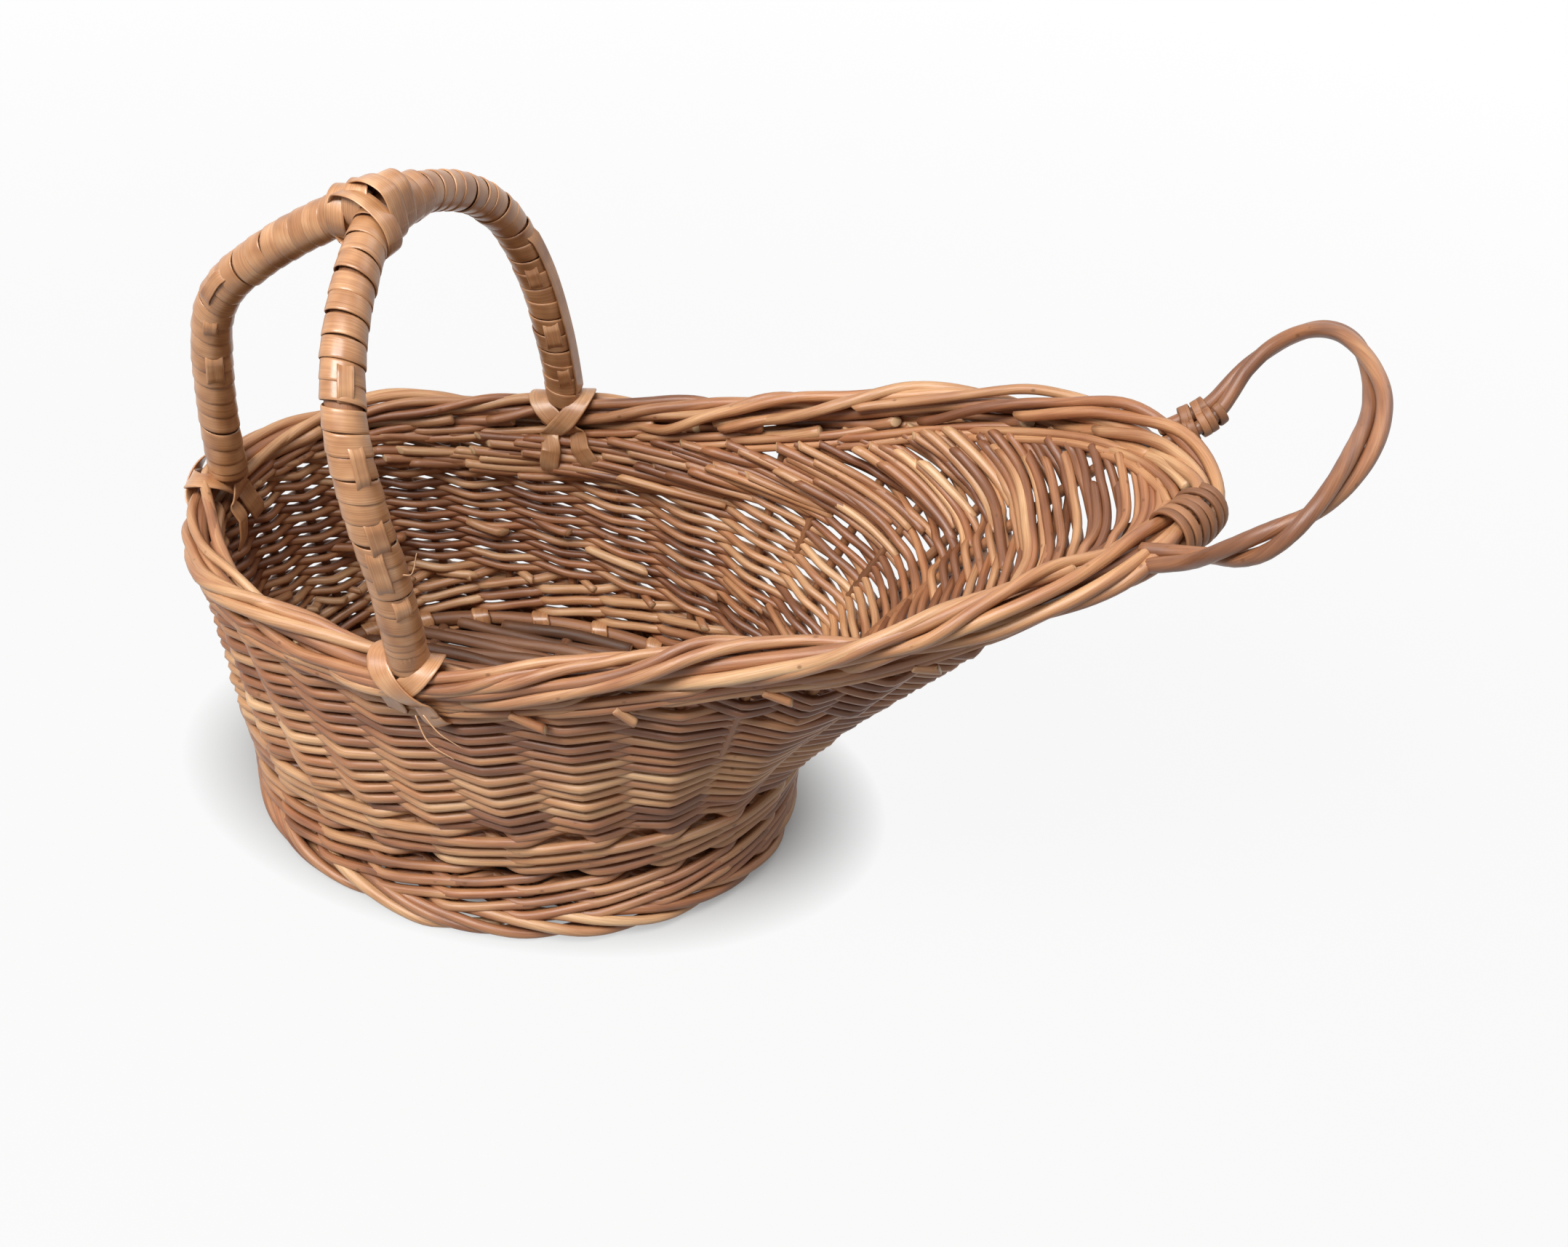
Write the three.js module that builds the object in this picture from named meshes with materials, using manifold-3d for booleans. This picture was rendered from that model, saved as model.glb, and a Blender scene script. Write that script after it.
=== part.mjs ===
// Willow wine bottle basket: an oval tub that a bottle lies in, drawn out into a rising spout for
// the bottle's neck, with a loop past the spout for its mouth and a three-legged handle over it.
// Millimetres. +X points along the spout, +Z is up, and the foot stands on Z = 0.

import * as THREE from "three";
import { mergeVertices } from "three/addons/utils/BufferGeometryUtils.js";
import Module from "manifold-3d";

// Clearance between pieces that touch on the real basket
const clearance = 0.3;

// Base hoop, the cane laced round it and the floor inside it
const hoopLength = 172;
const hoopWidth = 106;
const hoopHeight = 21.7;
const hoopRodDiameter = 5;
const caneThickness = 0.8;
const laceWidth = 6;
const floorRodDiameter = 4.4;
const floorStickDiameter = 4.6;
const floorStickSpacing = 45;

// Foot under the hoop
const footLength = 188;
const footWidth = 143.6;
const footBorderDiameter = 10;
const footBorderTurns = 7;
const footFlat = 0.5;
const footWaleThickness = 7.6;

// Stakes, and the short ones pushed in beside them where the spout widens
const stakeCount = 24;
const stakeDiameter = 3;
const byeStakesPerSide = 3;
const byeStakeStart = 62;

// Waling and weave of the wall, measured along the stakes
const waleHeight = 9.4;
const waleThickness = 8.2;
const weaveThickness = 6.8;
const weaveRelief = 1.2;
const weaveRows = 7;
const weaveDrop = 3;
const waleRoundness = 0.9;

// Rim, on the centre line of its border
const rimWidth = 129.4;
const rimRear = 93.5;
const rimHeight = 107.4;
const spoutReach = 203.6;
const spoutHeight = 162.6;
const spoutFan = 0.21;
const wallSplay = 0.1;
const borderDiameter = 12.4;
const borderTurns = 8;

// Handle: a bow over the tub and a rear leg, each wrapped with flat cane
const handleStake = 5.35;
const handleHeight = 213.4;
const handleLean = 21.2;
const rearLegRise = 5;
const rearLegInset = 5.5;
const coreDiameter = 9.6;
const wrapLoops = 19;
const caneGap = 0.9;
const lapWidth = 5;
const lapTail = 12;
const junctionReach = 11;

// Loop for the bottle's mouth, two rods twisted together, and the bindings of split rod that hold
// its ends and the tip of the spout
const loopReach = 35.4;
const loopWidth = 87;
const loopRise = 38.5;
const loopFoot = 31;
const loopRodDiameter = 4;
const loopTurns = 2;
const bindingDiameter = 2;
const bindingLoops = 3;
const tipBindingStart = 5;
const tipBindingLoops = 4;

const wasm = await Module();
wasm.setup();

const basket = new THREE.Group();

const finishes = {
  willow: { color: 0xc1905f, roughness: 0.55 },
  stake: { color: 0xa9784a, roughness: 0.6 },
  cane: { color: 0xb98a58, roughness: 0.42 },
  floor: { color: 0x95653f, roughness: 0.65 },
};

function addPart(name, geometry, finish) {
  const material = new THREE.MeshStandardMaterial({ ...finishes[finish], metalness: 0 });
  const mesh = new THREE.Mesh(geometry, material);
  mesh.name = name;
  basket.add(mesh);
}

// Places and directions

const up = new THREE.Vector3(0, 0, 1);
const step = (from, direction, distance) => from.clone().addScaledVector(direction, distance);
const heading = (from, to) => to.clone().sub(from).normalize();

function spread(from, to, count) {
  return Array.from({ length: count + 1 }, (_, i) => from + ((to - from) * i) / count);
}

// Skins over rows of sections

// Skin over a row of equal sections. A closed row joins its last section to its first, and an
// open row is capped at both ends. A twisted skin has its four-cornered faces split along their
// shorter diagonals, so that it stays thin. The faces are turned so that they point outwards.
function loft(sections, closed = false, twisted = false) {
  const sides = sections[0].length;
  const points = sections.flat();
  const positions = points.flatMap((point) => point.toArray());
  const index = [];
  const spans = closed ? sections.length : sections.length - 1;
  for (let i = 0; i < spans; i += 1) {
    const next = (i + 1) % sections.length;
    for (let j = 0; j < sides; j += 1) {
      const beside = (j + 1) % sides;
      const [a, b] = [i * sides + j, i * sides + beside];
      const [c, d] = [next * sides + beside, next * sides + j];
      if (twisted && points[b].distanceTo(points[d]) < points[a].distanceTo(points[c])) {
        index.push(a, b, d, b, c, d);
      } else {
        index.push(a, b, c, a, c, d);
      }
    }
  }
  if (!closed) {
    const last = (sections.length - 1) * sides;
    for (let j = 1; j < sides - 1; j += 1) {
      index.push(0, j + 1, j, last, last + j, last + j + 1);
    }
  }
  const geometry = new THREE.BufferGeometry();
  geometry.setAttribute("position", new THREE.Float32BufferAttribute(positions, 3));
  geometry.setIndex(volumeOf(positions, index) < 0 ? index.reverse() : index);
  return geometry;
}

function volumeOf(positions, index) {
  const corner = (i) => new THREE.Vector3().fromArray(positions, index[i] * 3);
  let sixVolumes = 0;
  for (let i = 0; i < index.length; i += 3) {
    sixVolumes += corner(i).dot(corner(i + 1).cross(corner(i + 2)));
  }
  return sixVolumes / 6;
}

// Section about a centre in the plane of two directions, with a radius for each of its points
function ringSection(centre, right, over, radiusAt, sides, turn = 0) {
  return Array.from({ length: sides }, (_, i) => {
    const angle = turn + (i / sides) * 2 * Math.PI;
    const radius = radiusAt(i);
    return step(step(centre, right, radius * Math.cos(angle)), over, radius * Math.sin(angle));
  });
}

// Steady directions across a path that never runs along the given reference direction
function across(run, reference) {
  const side = new THREE.Vector3().crossVectors(run, reference).normalize();
  return [side, new THREE.Vector3().crossVectors(side, run).normalize()];
}

// Rod of one radius through a list of points
function rodThrough(path, radius, sides, reference, closed = false) {
  const count = path.length;
  const before = (i) => (closed ? (i - 1 + count) % count : Math.max(0, i - 1));
  const after = (i) => (closed ? (i + 1) % count : Math.min(count - 1, i + 1));
  return loft(path.map((point, i) => {
    const [side, over] = across(heading(path[before(i)], path[after(i)]), reference);
    return ringSection(point, side, over, () => radius, sides);
  }), closed);
}

// Flat strip through places, each with a point under the strip, its outward side and its run
function strip(places, width, thickness, closed = false) {
  return loft(places.map(({ point, outward, run }) => {
    const side = new THREE.Vector3().crossVectors(run, outward).normalize();
    const corner = (share, out) => step(step(point, side, share * width), outward, out);
    return [corner(-0.5, 0), corner(0.5, 0), corner(0.5, thickness), corner(-0.5, thickness)];
  }), closed, true);
}

function toSolid(geometry) {
  const bare = geometry.clone();
  bare.deleteAttribute("normal");
  bare.deleteAttribute("uv");
  const merged = mergeVertices(bare);
  const vertProperties = Float32Array.from(merged.getAttribute("position").array);
  const triVerts = Uint32Array.from(merged.getIndex().array);
  return new wasm.Manifold(new wasm.Mesh({ numProp: 3, vertProperties, triVerts }));
}

function toGeometry(solid) {
  const mesh = solid.getMesh();
  const geometry = new THREE.BufferGeometry();
  geometry.setAttribute("position", new THREE.BufferAttribute(mesh.vertProperties, 3));
  geometry.setIndex(new THREE.BufferAttribute(mesh.triVerts, 1));
  return geometry;
}

// Ovals of the plan. A stake number tells the place round the basket: 0 is the front.

const angleOf = (stake) => (stake / stakeCount) * 2 * Math.PI;

function oval(length, width, height, angle) {
  return new THREE.Vector3(length / 2 * Math.cos(angle), width / 2 * Math.sin(angle), height);
}

function ovalOutward(length, width, angle) {
  return new THREE.Vector3(Math.cos(angle) / length, Math.sin(angle) / width, 0).normalize();
}

// Signed distance in stakes from the front, to the left of it positive
function fromFront(stake) {
  const half = stakeCount / 2;
  return ((stake + half) % stakeCount + stakeCount) % stakeCount - half;
}

// Rim

// Half outline of the rim from the tip of the spout to the rear: shares of the reach forwards or
// backwards, of the half width, and of the rise from the low side of the rim to the tip
const rimOutline = [
  [1, 0, 1],
  [0.955, 0.29, 0.995],
  [0.845, 0.575, 0.9],
  [0.66, 0.82, 0.665],
  [0.44, 0.893, 0.388],
  [0.22, 0.972, 0.155],
  [0.02, 1, 0.018],
  [-0.32, 0.905, 0],
  [-0.66, 0.735, 0.02],
  [-0.905, 0.41, 0.02],
  [-1, 0, 0.02],
];

function rimPlace([reach, width, rise], side) {
  return new THREE.Vector3(
    reach * (reach > 0 ? spoutReach : rimRear),
    side * width * rimWidth / 2,
    rimHeight + rise * (spoutHeight - rimHeight));
}

const rimCurve = new THREE.CatmullRomCurve3(
  [...rimOutline.map((place) => rimPlace(place, 1)),
    ...rimOutline.slice(1, -1).reverse().map((place) => rimPlace(place, -1))],
  true, "centripetal");
rimCurve.arcLengthDivisions = 400;

// Share of the rim's length at which a stake reaches it: the front stakes fan out into the spout
function rimShare(stake) {
  const place = fromFront(stake);
  const q = Math.abs(place) / (stakeCount / 2);
  const fan = q + spoutFan * Math.sin(Math.PI * q ** 0.8);
  return (Math.sign(place) * fan / 2 + 1) % 1;
}

const borderRadius = borderDiameter / 2;
const rimPoint = (stake) => rimCurve.getPointAt(rimShare(stake));
const rimRun = (stake) => rimCurve.getTangentAt(rimShare(stake));

// How far from the middle of the border a rod's square end stays, where it meets it at a slant
function endShort(direction, borderRun, rodRadius) {
  const slant = Math.abs(direction.dot(borderRun));
  return (borderRadius + clearance + rodRadius * slant) / Math.sqrt(1 - slant ** 2);
}

// Wall: one curve for each place round the tub, from beside the hoop up to the rim

const hoopRadius = hoopRodDiameter / 2;
const stakeRadius = stakeDiameter / 2;

function wallFoot(stake) {
  const angle = angleOf(stake);
  const outward = ovalOutward(hoopLength, hoopWidth, angle);
  return step(oval(hoopLength, hoopWidth, hoopHeight, angle), outward,
    hoopRadius + clearance + stakeRadius);
}

// How much a place belongs to the front: 1 at the front, easing to 0 a number of stakes from it
function frontShare(stake, reach) {
  return (1 + Math.cos(Math.PI * Math.min(1, Math.abs(fromFront(stake)) / reach))) / 2;
}

const spoutShare = (stake) => frontShare(stake, byeStakesPerSide + 1);
const keelReach = 1.2;
const keelShare = (stake) => frontShare(stake, keelReach);

// How far the keel's stake bends forwards and down before it meets the tip
const keelBend = new THREE.Vector3(0.24, 0, -0.16);

// Share of a stake that each of its curve's arms takes, and what the spout changes of it
const armShare = 0.35;
const spoutRiseLess = 0.1;
const spoutFallMore = 0.05;

const wallCurves = new Map();

function wallCurve(stake) {
  const key = fromFront(stake).toFixed(4);
  if (!wallCurves.has(key)) {
    const start = wallFoot(stake);
    const rim = rimPoint(stake);
    const outward = ovalOutward(hoopLength, hoopWidth, angleOf(stake));
    const leave = step(up, outward, wallSplay).normalize();
    const arrive = heading(start, rim).addScaledVector(keelBend, keelShare(stake)).normalize();
    const end = step(rim, arrive, -endShort(arrive, rimRun(stake), stakeRadius));
    const reach = start.distanceTo(end);
    const rise = reach * (armShare - spoutRiseLess * spoutShare(stake));
    const fall = reach * (armShare + spoutFallMore * spoutShare(stake));
    const curve = new THREE.CubicBezierCurve3(
      start, step(start, leave, rise), step(end, arrive, -fall), end);
    curve.arcLengthDivisions = 60;
    wallCurves.set(key, curve);
  }
  return wallCurves.get(key);
}

const wallLength = (stake) => wallCurve(stake).getLength();

// Point on the wall's middle surface, a distance up from the hoop at a place round the tub
function wallPoint(stake, distance) {
  return wallCurve(stake).getPointAt(Math.min(1, Math.max(0, distance / wallLength(stake))));
}

function wallOutward(stake, distance) {
  const reach = Math.min(distance, wallLength(stake) - 1);
  const around = heading(wallPoint(stake - 0.25, reach), wallPoint(stake + 0.25, reach));
  const rising = heading(wallPoint(stake, Math.max(0, reach - 1)), wallPoint(stake, reach + 1));
  return around.cross(rising).normalize();
}

// Foot line: from the middle of the foot border up to where the stakes pass the hoop

const footBorderRadius = footBorderDiameter / 2;
const footBorderHeight = footBorderRadius - footFlat;
const footBorderTop = footBorderHeight + footBorderRadius;
const footMiddleLength = footLength - footBorderDiameter;
const footMiddleWidth = footWidth - footBorderDiameter;

function footPoint(stake, height) {
  const low = oval(footMiddleLength, footMiddleWidth, footBorderHeight, angleOf(stake));
  return low.lerp(wallFoot(stake), (height - footBorderHeight) / (hoopHeight - footBorderHeight));
}

// Stakes, each from the foot border or from within the weave up to the rim border

const stakeSides = 5;

function stakeBody(stake, radius, fromFoot, spare = 0) {
  const steps = spoutShare(stake) > 0 ? 5 : 3;
  const start = fromFoot ? 0 : byeStakeStart - spare;
  const path = spread(start, wallLength(stake), steps).map((reach) => wallPoint(stake, reach));
  if (fromFoot) path.unshift(footPoint(stake, footBorderTop + clearance - spare));
  const last = path.pop();
  path.push(step(last, heading(path[path.length - 1], last), spare));
  return rodThrough(path, radius, stakeSides, wallOutward(stake, wallLength(stake) / 2));
}

const stakes = Array.from({ length: stakeCount }, (_, i) => i);
const byeStakes = Array.from({ length: byeStakesPerSide * 2 }, (_, i) => i - byeStakesPerSide + 0.5);

stakes.forEach((stake) => addPart(`stake_${stake + 1}`, stakeBody(stake, stakeRadius, true), "stake"));
byeStakes.forEach((stake, i) =>
  addPart(`bye_stake_${i + 1}`, stakeBody(stake, stakeRadius, false), "stake"));

// Channels that the stakes run in, a little wider than the stakes and longer than the weave
const channelRadius = (stakeRadius + clearance) / Math.cos(Math.PI / stakeSides);
const channelSpare = 1;
const channels = [
  ...stakes.map((stake) => stakeBody(stake, channelRadius, true, channelSpare)),
  ...byeStakes.map((stake) => stakeBody(stake, channelRadius, false, clearance)),
].map(toSolid);

function woundRoundStakes(geometry) {
  return toGeometry(channels.reduce((solid, channel) => solid.subtract(channel), toSolid(geometry)));
}

// Woven bands: rows of points up the outer face and back down the inner face at each place

const spoutStakes = byeStakesPerSide;
const evenPlaces = spread(0, stakeCount, 40).slice(0, -1);
const spoutPlaces = [
  ...spread(-spoutStakes, spoutStakes, spoutStakes * 8),
  ...spread(spoutStakes, stakeCount - spoutStakes, (stakeCount - 2 * spoutStakes) * 2).slice(1, -1),
];

// Number of stakes from the front to a place, where the short stakes of the spout count too
function stakesPassed(place) {
  const stake = fromFront(place);
  return stake + Math.min(spoutStakes, Math.max(-spoutStakes, stake));
}

function wovenBand(places, rowsAt, pointAt, outwardAt, faceAt) {
  return loft(places.map((stake) => {
    const rows = rowsAt(stake);
    const face = (side) => rows.map((reach, row) =>
      step(pointAt(stake, reach), outwardAt(stake, reach), faceAt(side, stake, row)));
    return [...face(1), ...face(-1).reverse()];
  }), true);
}

// Face of a wale: its rods stand out in rounded rows, two section points to a row
function waleFace(thickness, roundness) {
  return (side, place, row) => side * (thickness / 2 - (row % 2 === 0 ? roundness : 0));
}

const laceSteps = 6;
const laceInside = (hoopRadius + 2 * clearance) / Math.cos(Math.PI / laceSteps);
const laceRadius = laceInside + caneThickness;

const footWaleRows = spread(footBorderTop + clearance, hoopHeight - laceRadius - clearance, 2);
addPart("foot_wale", woundRoundStakes(wovenBand(
  evenPlaces,
  () => footWaleRows,
  footPoint,
  (stake) => ovalOutward(footLength, footWidth, angleOf(stake)),
  waleFace(footWaleThickness, waleRoundness))), "willow");

const waleStart = laceRadius + clearance;
const waleRows = spread(waleStart, waleStart + waleHeight, 4);
addPart("wall_wale", woundRoundStakes(wovenBand(
  evenPlaces,
  () => waleRows,
  wallPoint,
  wallOutward,
  waleFace(waleThickness, waleRoundness))), "willow");

// The weave of tub and spout: its rows stand out over the stakes and dip behind them in turn
const weaveStart = waleStart + waleHeight + clearance;
addPart("wall_weave", woundRoundStakes(wovenBand(
  spoutPlaces,
  (stake) => spread(weaveStart, wallLength(stake) - weaveDrop, weaveRows),
  wallPoint,
  wallOutward,
  (side, stake, row) =>
    side * weaveThickness / 2 + weaveRelief * Math.cos(Math.PI * (stakesPassed(stake) + row)),
)), "willow");

// Rolled borders: strands laid round each other, as one lobed section that turns as it runs

const borderStrands = 4;
const grooveShare = 0.8;
const footBorderSteps = 48;
const rimBorderSteps = 74;

function rolledBorder(pointAt, runAt, radius, turns, steps) {
  const radiusAt = (i) => (i % 2 === 0 ? grooveShare * radius : radius);
  return loft(Array.from({ length: steps }, (_, i) => {
    const share = i / steps;
    const [side, over] = across(runAt(share), up);
    return ringSection(
      pointAt(share), side, over, radiusAt, borderStrands * 2, share * turns * 2 * Math.PI);
  }), true);
}

const footRoll = rolledBorder(
  (share) => oval(footMiddleLength, footMiddleWidth, footBorderHeight, share * 2 * Math.PI),
  (share) => new THREE.Vector3().crossVectors(
    up, ovalOutward(footMiddleLength, footMiddleWidth, share * 2 * Math.PI)),
  footBorderRadius, footBorderTurns, footBorderSteps);
const ground = new THREE.BoxGeometry(footLength * 2, footWidth * 2, footBorderDiameter);
ground.translate(0, 0, -footBorderDiameter / 2);
addPart("foot_border", toGeometry(toSolid(footRoll).subtract(toSolid(ground))), "willow");

addPart("rim_border", rolledBorder(
  (share) => rimCurve.getPointAt(share),
  (share) => rimCurve.getTangentAt(share),
  borderRadius, borderTurns, rimBorderSteps), "willow");

// Base hoop and the cane laced round it, once between each two stakes

const hoopSteps = 36;
addPart("base_hoop", rodThrough(
  spread(0, 1, hoopSteps).slice(0, -1).map((share) =>
    oval(hoopLength, hoopWidth, hoopHeight, share * 2 * Math.PI)),
  hoopRadius, 6, up, true), "stake");

const laceLoops = stakeCount - 1;
const lacePlaces = spread(0, laceLoops, laceLoops * laceSteps).map((loop) => {
  const angle = angleOf(loop + 0.5);
  const outward = ovalOutward(hoopLength, hoopWidth, angle);
  const turn = loop * 2 * Math.PI;
  const facing = step(new THREE.Vector3(), outward, Math.cos(turn)).addScaledVector(up, Math.sin(turn));
  const point = step(oval(hoopLength, hoopWidth, hoopHeight, angle), facing, laceInside);
  const alongHoop = new THREE.Vector3().crossVectors(up, outward);
  return { point, outward: facing, run: new THREE.Vector3().crossVectors(facing, alongHoop) };
});
addPart("hoop_lacing", strip(lacePlaces, laceWidth, caneThickness), "cane");

// Floor: a mat of rods that run with the spout, on sticks that cross under them

const floorLength = hoopLength - 2 * (laceRadius + clearance);
const floorWidth = hoopWidth - 2 * (laceRadius + clearance);
const floorNesting = 0.92;

// Half thickness of the mat in its grooves and on its crests, as shares of a rod
const floorGroove = 0.2;
const floorCrest = 0.5;
const floorPitch = floorNesting * floorRodDiameter;
const floorRods = Math.ceil(floorWidth / floorPitch);
const floorOutline = new THREE.Shape();
const floorEdge = floorRods * floorPitch / 2;
const floorSide = (side) => spread(-floorEdge, floorEdge, floorRods * 2).map((y, i) =>
  new THREE.Vector2(y * side, side * floorRodDiameter * (i % 2 === 0 ? floorGroove : floorCrest)));
floorOutline.setFromPoints([...floorSide(1), ...floorSide(-1)]);
const floorMat = new THREE.ExtrudeGeometry(floorOutline, { depth: hoopLength, bevelEnabled: false });
floorMat.translate(0, 0, -hoopLength / 2);
floorMat.rotateX(Math.PI / 2);
floorMat.rotateZ(Math.PI / 2);
floorMat.translate(0, 0, hoopHeight);
const floorOval = loft([0, 1].map((level) => spread(0, 1, hoopSteps).slice(0, -1).map((share) =>
  oval(floorLength, floorWidth, hoopHeight + (level - 0.5) * 2 * floorRodDiameter,
    share * 2 * Math.PI))));
addPart("floor_rods", toGeometry(toSolid(floorMat).intersect(toSolid(floorOval))), "floor");

const stickRadius = floorStickDiameter / 2;
const stickHeight = hoopHeight - floorRodDiameter / 2 - clearance - stickRadius;
[-1, 0, 1].forEach((place, i) => {
  const x = place * floorStickSpacing;
  const reach = floorWidth / 2 * Math.sqrt(1 - (Math.abs(x) + stickRadius) ** 2 / (floorLength / 2) ** 2);
  const ends = [new THREE.Vector3(x, -reach, stickHeight), new THREE.Vector3(x, reach, stickHeight)];
  addPart(`floor_stick_${i + 1}`, rodThrough(ends, stickRadius, 8, up), "floor");
});

// Handle cores

const coreRadius = coreDiameter / 2;
const coreSides = 8;
const coreLift = borderRadius + 2 * clearance;

// Half of the bow from a leg to the apex: shares of the half span and of the rise
const bowOutline = [
  [1, 0],
  [0.99, 0.25],
  [0.965, 0.5],
  [0.874, 0.688],
  [0.7, 0.82],
  [0.45, 0.92],
  [0.2, 0.98],
  [0, 1],
];
const bowFoot = step(rimPoint(handleStake), up, coreLift);
const bowPlace = ([span, rise], side) => new THREE.Vector3(
  bowFoot.x - (bowFoot.x + handleLean) * rise ** 1.8,
  side * span * bowFoot.y,
  bowFoot.z + rise * (handleHeight - bowFoot.z));
const bowCurve = new THREE.CatmullRomCurve3([
  ...bowOutline.map((place) => bowPlace(place, -1)),
  ...bowOutline.slice(0, -1).reverse().map((place) => bowPlace(place, 1)),
]);

// Rear leg from the rim to the bow: shares of the way forwards and of the rise
const rearOutline = [
  [0, 0],
  [0.04, 0.3],
  [0.12, 0.547],
  [0.22, 0.655],
  [0.39, 0.755],
  [0.58, 0.845],
  [0.77, 0.92],
  [1, 1],
];
const rearFoot = new THREE.Vector3(
  rimPoint(stakeCount / 2).x + rearLegInset,
  0,
  rimPoint(stakeCount / 2).z + coreLift + caneThickness);
const apex = step(bowPlace([0, 1], 1), up, rearLegRise);
const rearCurve = new THREE.CatmullRomCurve3(rearOutline.map(([forward, rise]) =>
  new THREE.Vector3(
    rearFoot.x + forward * (apex.x - rearFoot.x), 0, rearFoot.z + rise * (apex.z - rearFoot.z))));

// Stretch of a curve as shares of its length, from a distance to another
function stretch(curve, from, to, count) {
  return spread(from, to, count).map((distance) => curve.getPointAt(distance / curve.getLength()));
}

const bowLength = bowCurve.getLength();
const rearSlope = rearCurve.getTangentAt(1).z;
const rearEnd = rearCurve.getLength() - coreRadius - 2 * clearance - rearLegRise * rearSlope;
addPart("handle_bow", rodThrough(
  stretch(bowCurve, 0, bowLength, 26), coreRadius, coreSides, new THREE.Vector3(1, 0, 0)), "stake");
addPart("handle_rear_leg", rodThrough(
  stretch(rearCurve, 0, rearEnd, 14), coreRadius, coreSides, new THREE.Vector3(0, 1, 0)), "stake");

// Windings: flat cane or split rod laid round a curve as one unbroken strip. A section gives the
// distances along the curve and out from it of the strip's corners.

const caneSection = (width) => [
  [-width / 2, 0], [width / 2, 0], [width / 2, caneThickness], [-width / 2, caneThickness]];

const rodSection = (diameter, sides = 5) => Array.from({ length: sides }, (_, i) => {
  const angle = (i / sides) * 2 * Math.PI;
  return [Math.sin(angle) * diameter / 2, (1 - Math.cos(angle)) * diameter / 2];
});

const windingSteps = 6;

function winding(name, curve, from, to, loops, insideRadius, section, reference, finish) {
  const length = curve.getLength();
  const radius = insideRadius / Math.cos(Math.PI / windingSteps);
  const alongs = section.map(([along]) => along);
  const width = Math.max(...alongs) - Math.min(...alongs);
  const corner = (distance, turn, out) => {
    const share = (distance / length + 1) % 1;
    const [side, over] = across(curve.getTangentAt(share), reference);
    const start = curve.getPointAt(share);
    return step(step(start, side, out * Math.cos(turn)), over, out * Math.sin(turn));
  };
  const sections = spread(0, loops, loops * windingSteps).map((loop) => {
    const middle = from + width / 2 + (loop / loops) * (to - from - width);
    return section.map(([along, out]) => corner(middle + along, loop * 2 * Math.PI, radius + out));
  });
  const gap = leastGap(sections);
  console.log(`${name}: least gap between turns ${gap.toFixed(2)} mm`);
  addPart(name, loft(sections), finish);
}

// Least distance between the corners of one turn and those of the next
function leastGap(sections) {
  const gaps = sections.slice(windingSteps).flatMap((section, i) =>
    section.flatMap((corner) => sections[i].map((other) => corner.distanceTo(other))));
  return Math.min(...gaps);
}

const alongX = new THREE.Vector3(1, 0, 0);
const alongY = new THREE.Vector3(0, 1, 0);
const wrapInside = coreRadius + clearance;
const bowWrap = [1, bowLength / 2 - junctionReach];
const rearWrap = [1, rearCurve.getLength() - junctionReach];

function legWrap(name, curve, from, to, reference) {
  const pitch = (to - from) / wrapLoops;
  winding(name, curve, from, to, wrapLoops, wrapInside, caneSection(pitch - caneGap), reference,
    "cane");
}

legWrap("wrap_near_leg", bowCurve, bowWrap[0], bowWrap[1], alongX);
legWrap("wrap_far_leg", bowCurve, bowLength - bowWrap[1], bowLength - bowWrap[0], alongX);
legWrap("wrap_rear_leg", rearCurve, rearWrap[0], rearWrap[1], alongY);

// Lappings: at each foot of the handle two canes go over the border, one on each side of the leg.
// They cross on both faces of the border, and their tails lie on the weave.

const wrapRadius = wrapInside / Math.cos(Math.PI / windingSteps) + caneThickness;
const lapReach = wrapRadius + lapWidth / 2 + 8 * clearance;
const lapFrom = -35;
const lapTo = 215;
const lapSteps = 10;
const lapHalfStep = THREE.MathUtils.degToRad((lapTo - lapFrom) / lapSteps / 2);
const lapInside = (borderRadius + 1.5 * clearance) / Math.cos(lapHalfStep);
const lapOver = Math.hypot(lapInside + caneThickness, lapWidth / 2) + 2 * clearance;
const weaveFace = weaveThickness / 2 + weaveRelief + clearance;

// How far along the rim a tail starts, as a share of the lap's reach, and its lean past the leg
const tailStart = 0.6;
const tailLean = 0.7;

function lapping(name, stake, hand, radius) {
  const rimLength = rimCurve.getLength();
  const perStake = rimLength * (rimShare(stake + 0.5) - rimShare(stake - 0.5));
  const round = spread(lapFrom, lapTo, lapSteps).map((degrees) => {
    const angle = THREE.MathUtils.degToRad(degrees);
    const share = rimShare(stake) + hand * lapReach * Math.sin(angle) / rimLength;
    const [side, over] = across(rimCurve.getTangentAt(share), up);
    const outward = side.multiplyScalar(Math.cos(angle)).addScaledVector(over, Math.sin(angle));
    return { point: step(rimCurve.getPointAt(share), outward, radius), outward };
  });
  const tail = (side, depth) => {
    const place = stake - hand * (lapReach * tailStart + depth * tailLean) / perStake;
    const reach = wallLength(place) - weaveDrop - depth;
    const outward = wallOutward(place, reach).multiplyScalar(side);
    return { point: step(wallPoint(place, reach), outward, weaveFace + radius - lapInside), outward };
  };
  const places = [tail(1, lapTail), tail(1, lapTail / 3), ...round, tail(-1, lapTail / 3),
    tail(-1, lapTail)];
  addPart(name, strip(withRuns(places), lapWidth, caneThickness), "cane");
}

// Gives each place of a strip the direction of its run
function withRuns(places, closed = false) {
  const count = places.length;
  const near = (i) => (closed ? (i + count) % count : Math.min(count - 1, Math.max(0, i)));
  return places.map((place, i) =>
    ({ ...place, run: heading(places[near(i - 1)].point, places[near(i + 1)].point) }));
}

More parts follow.
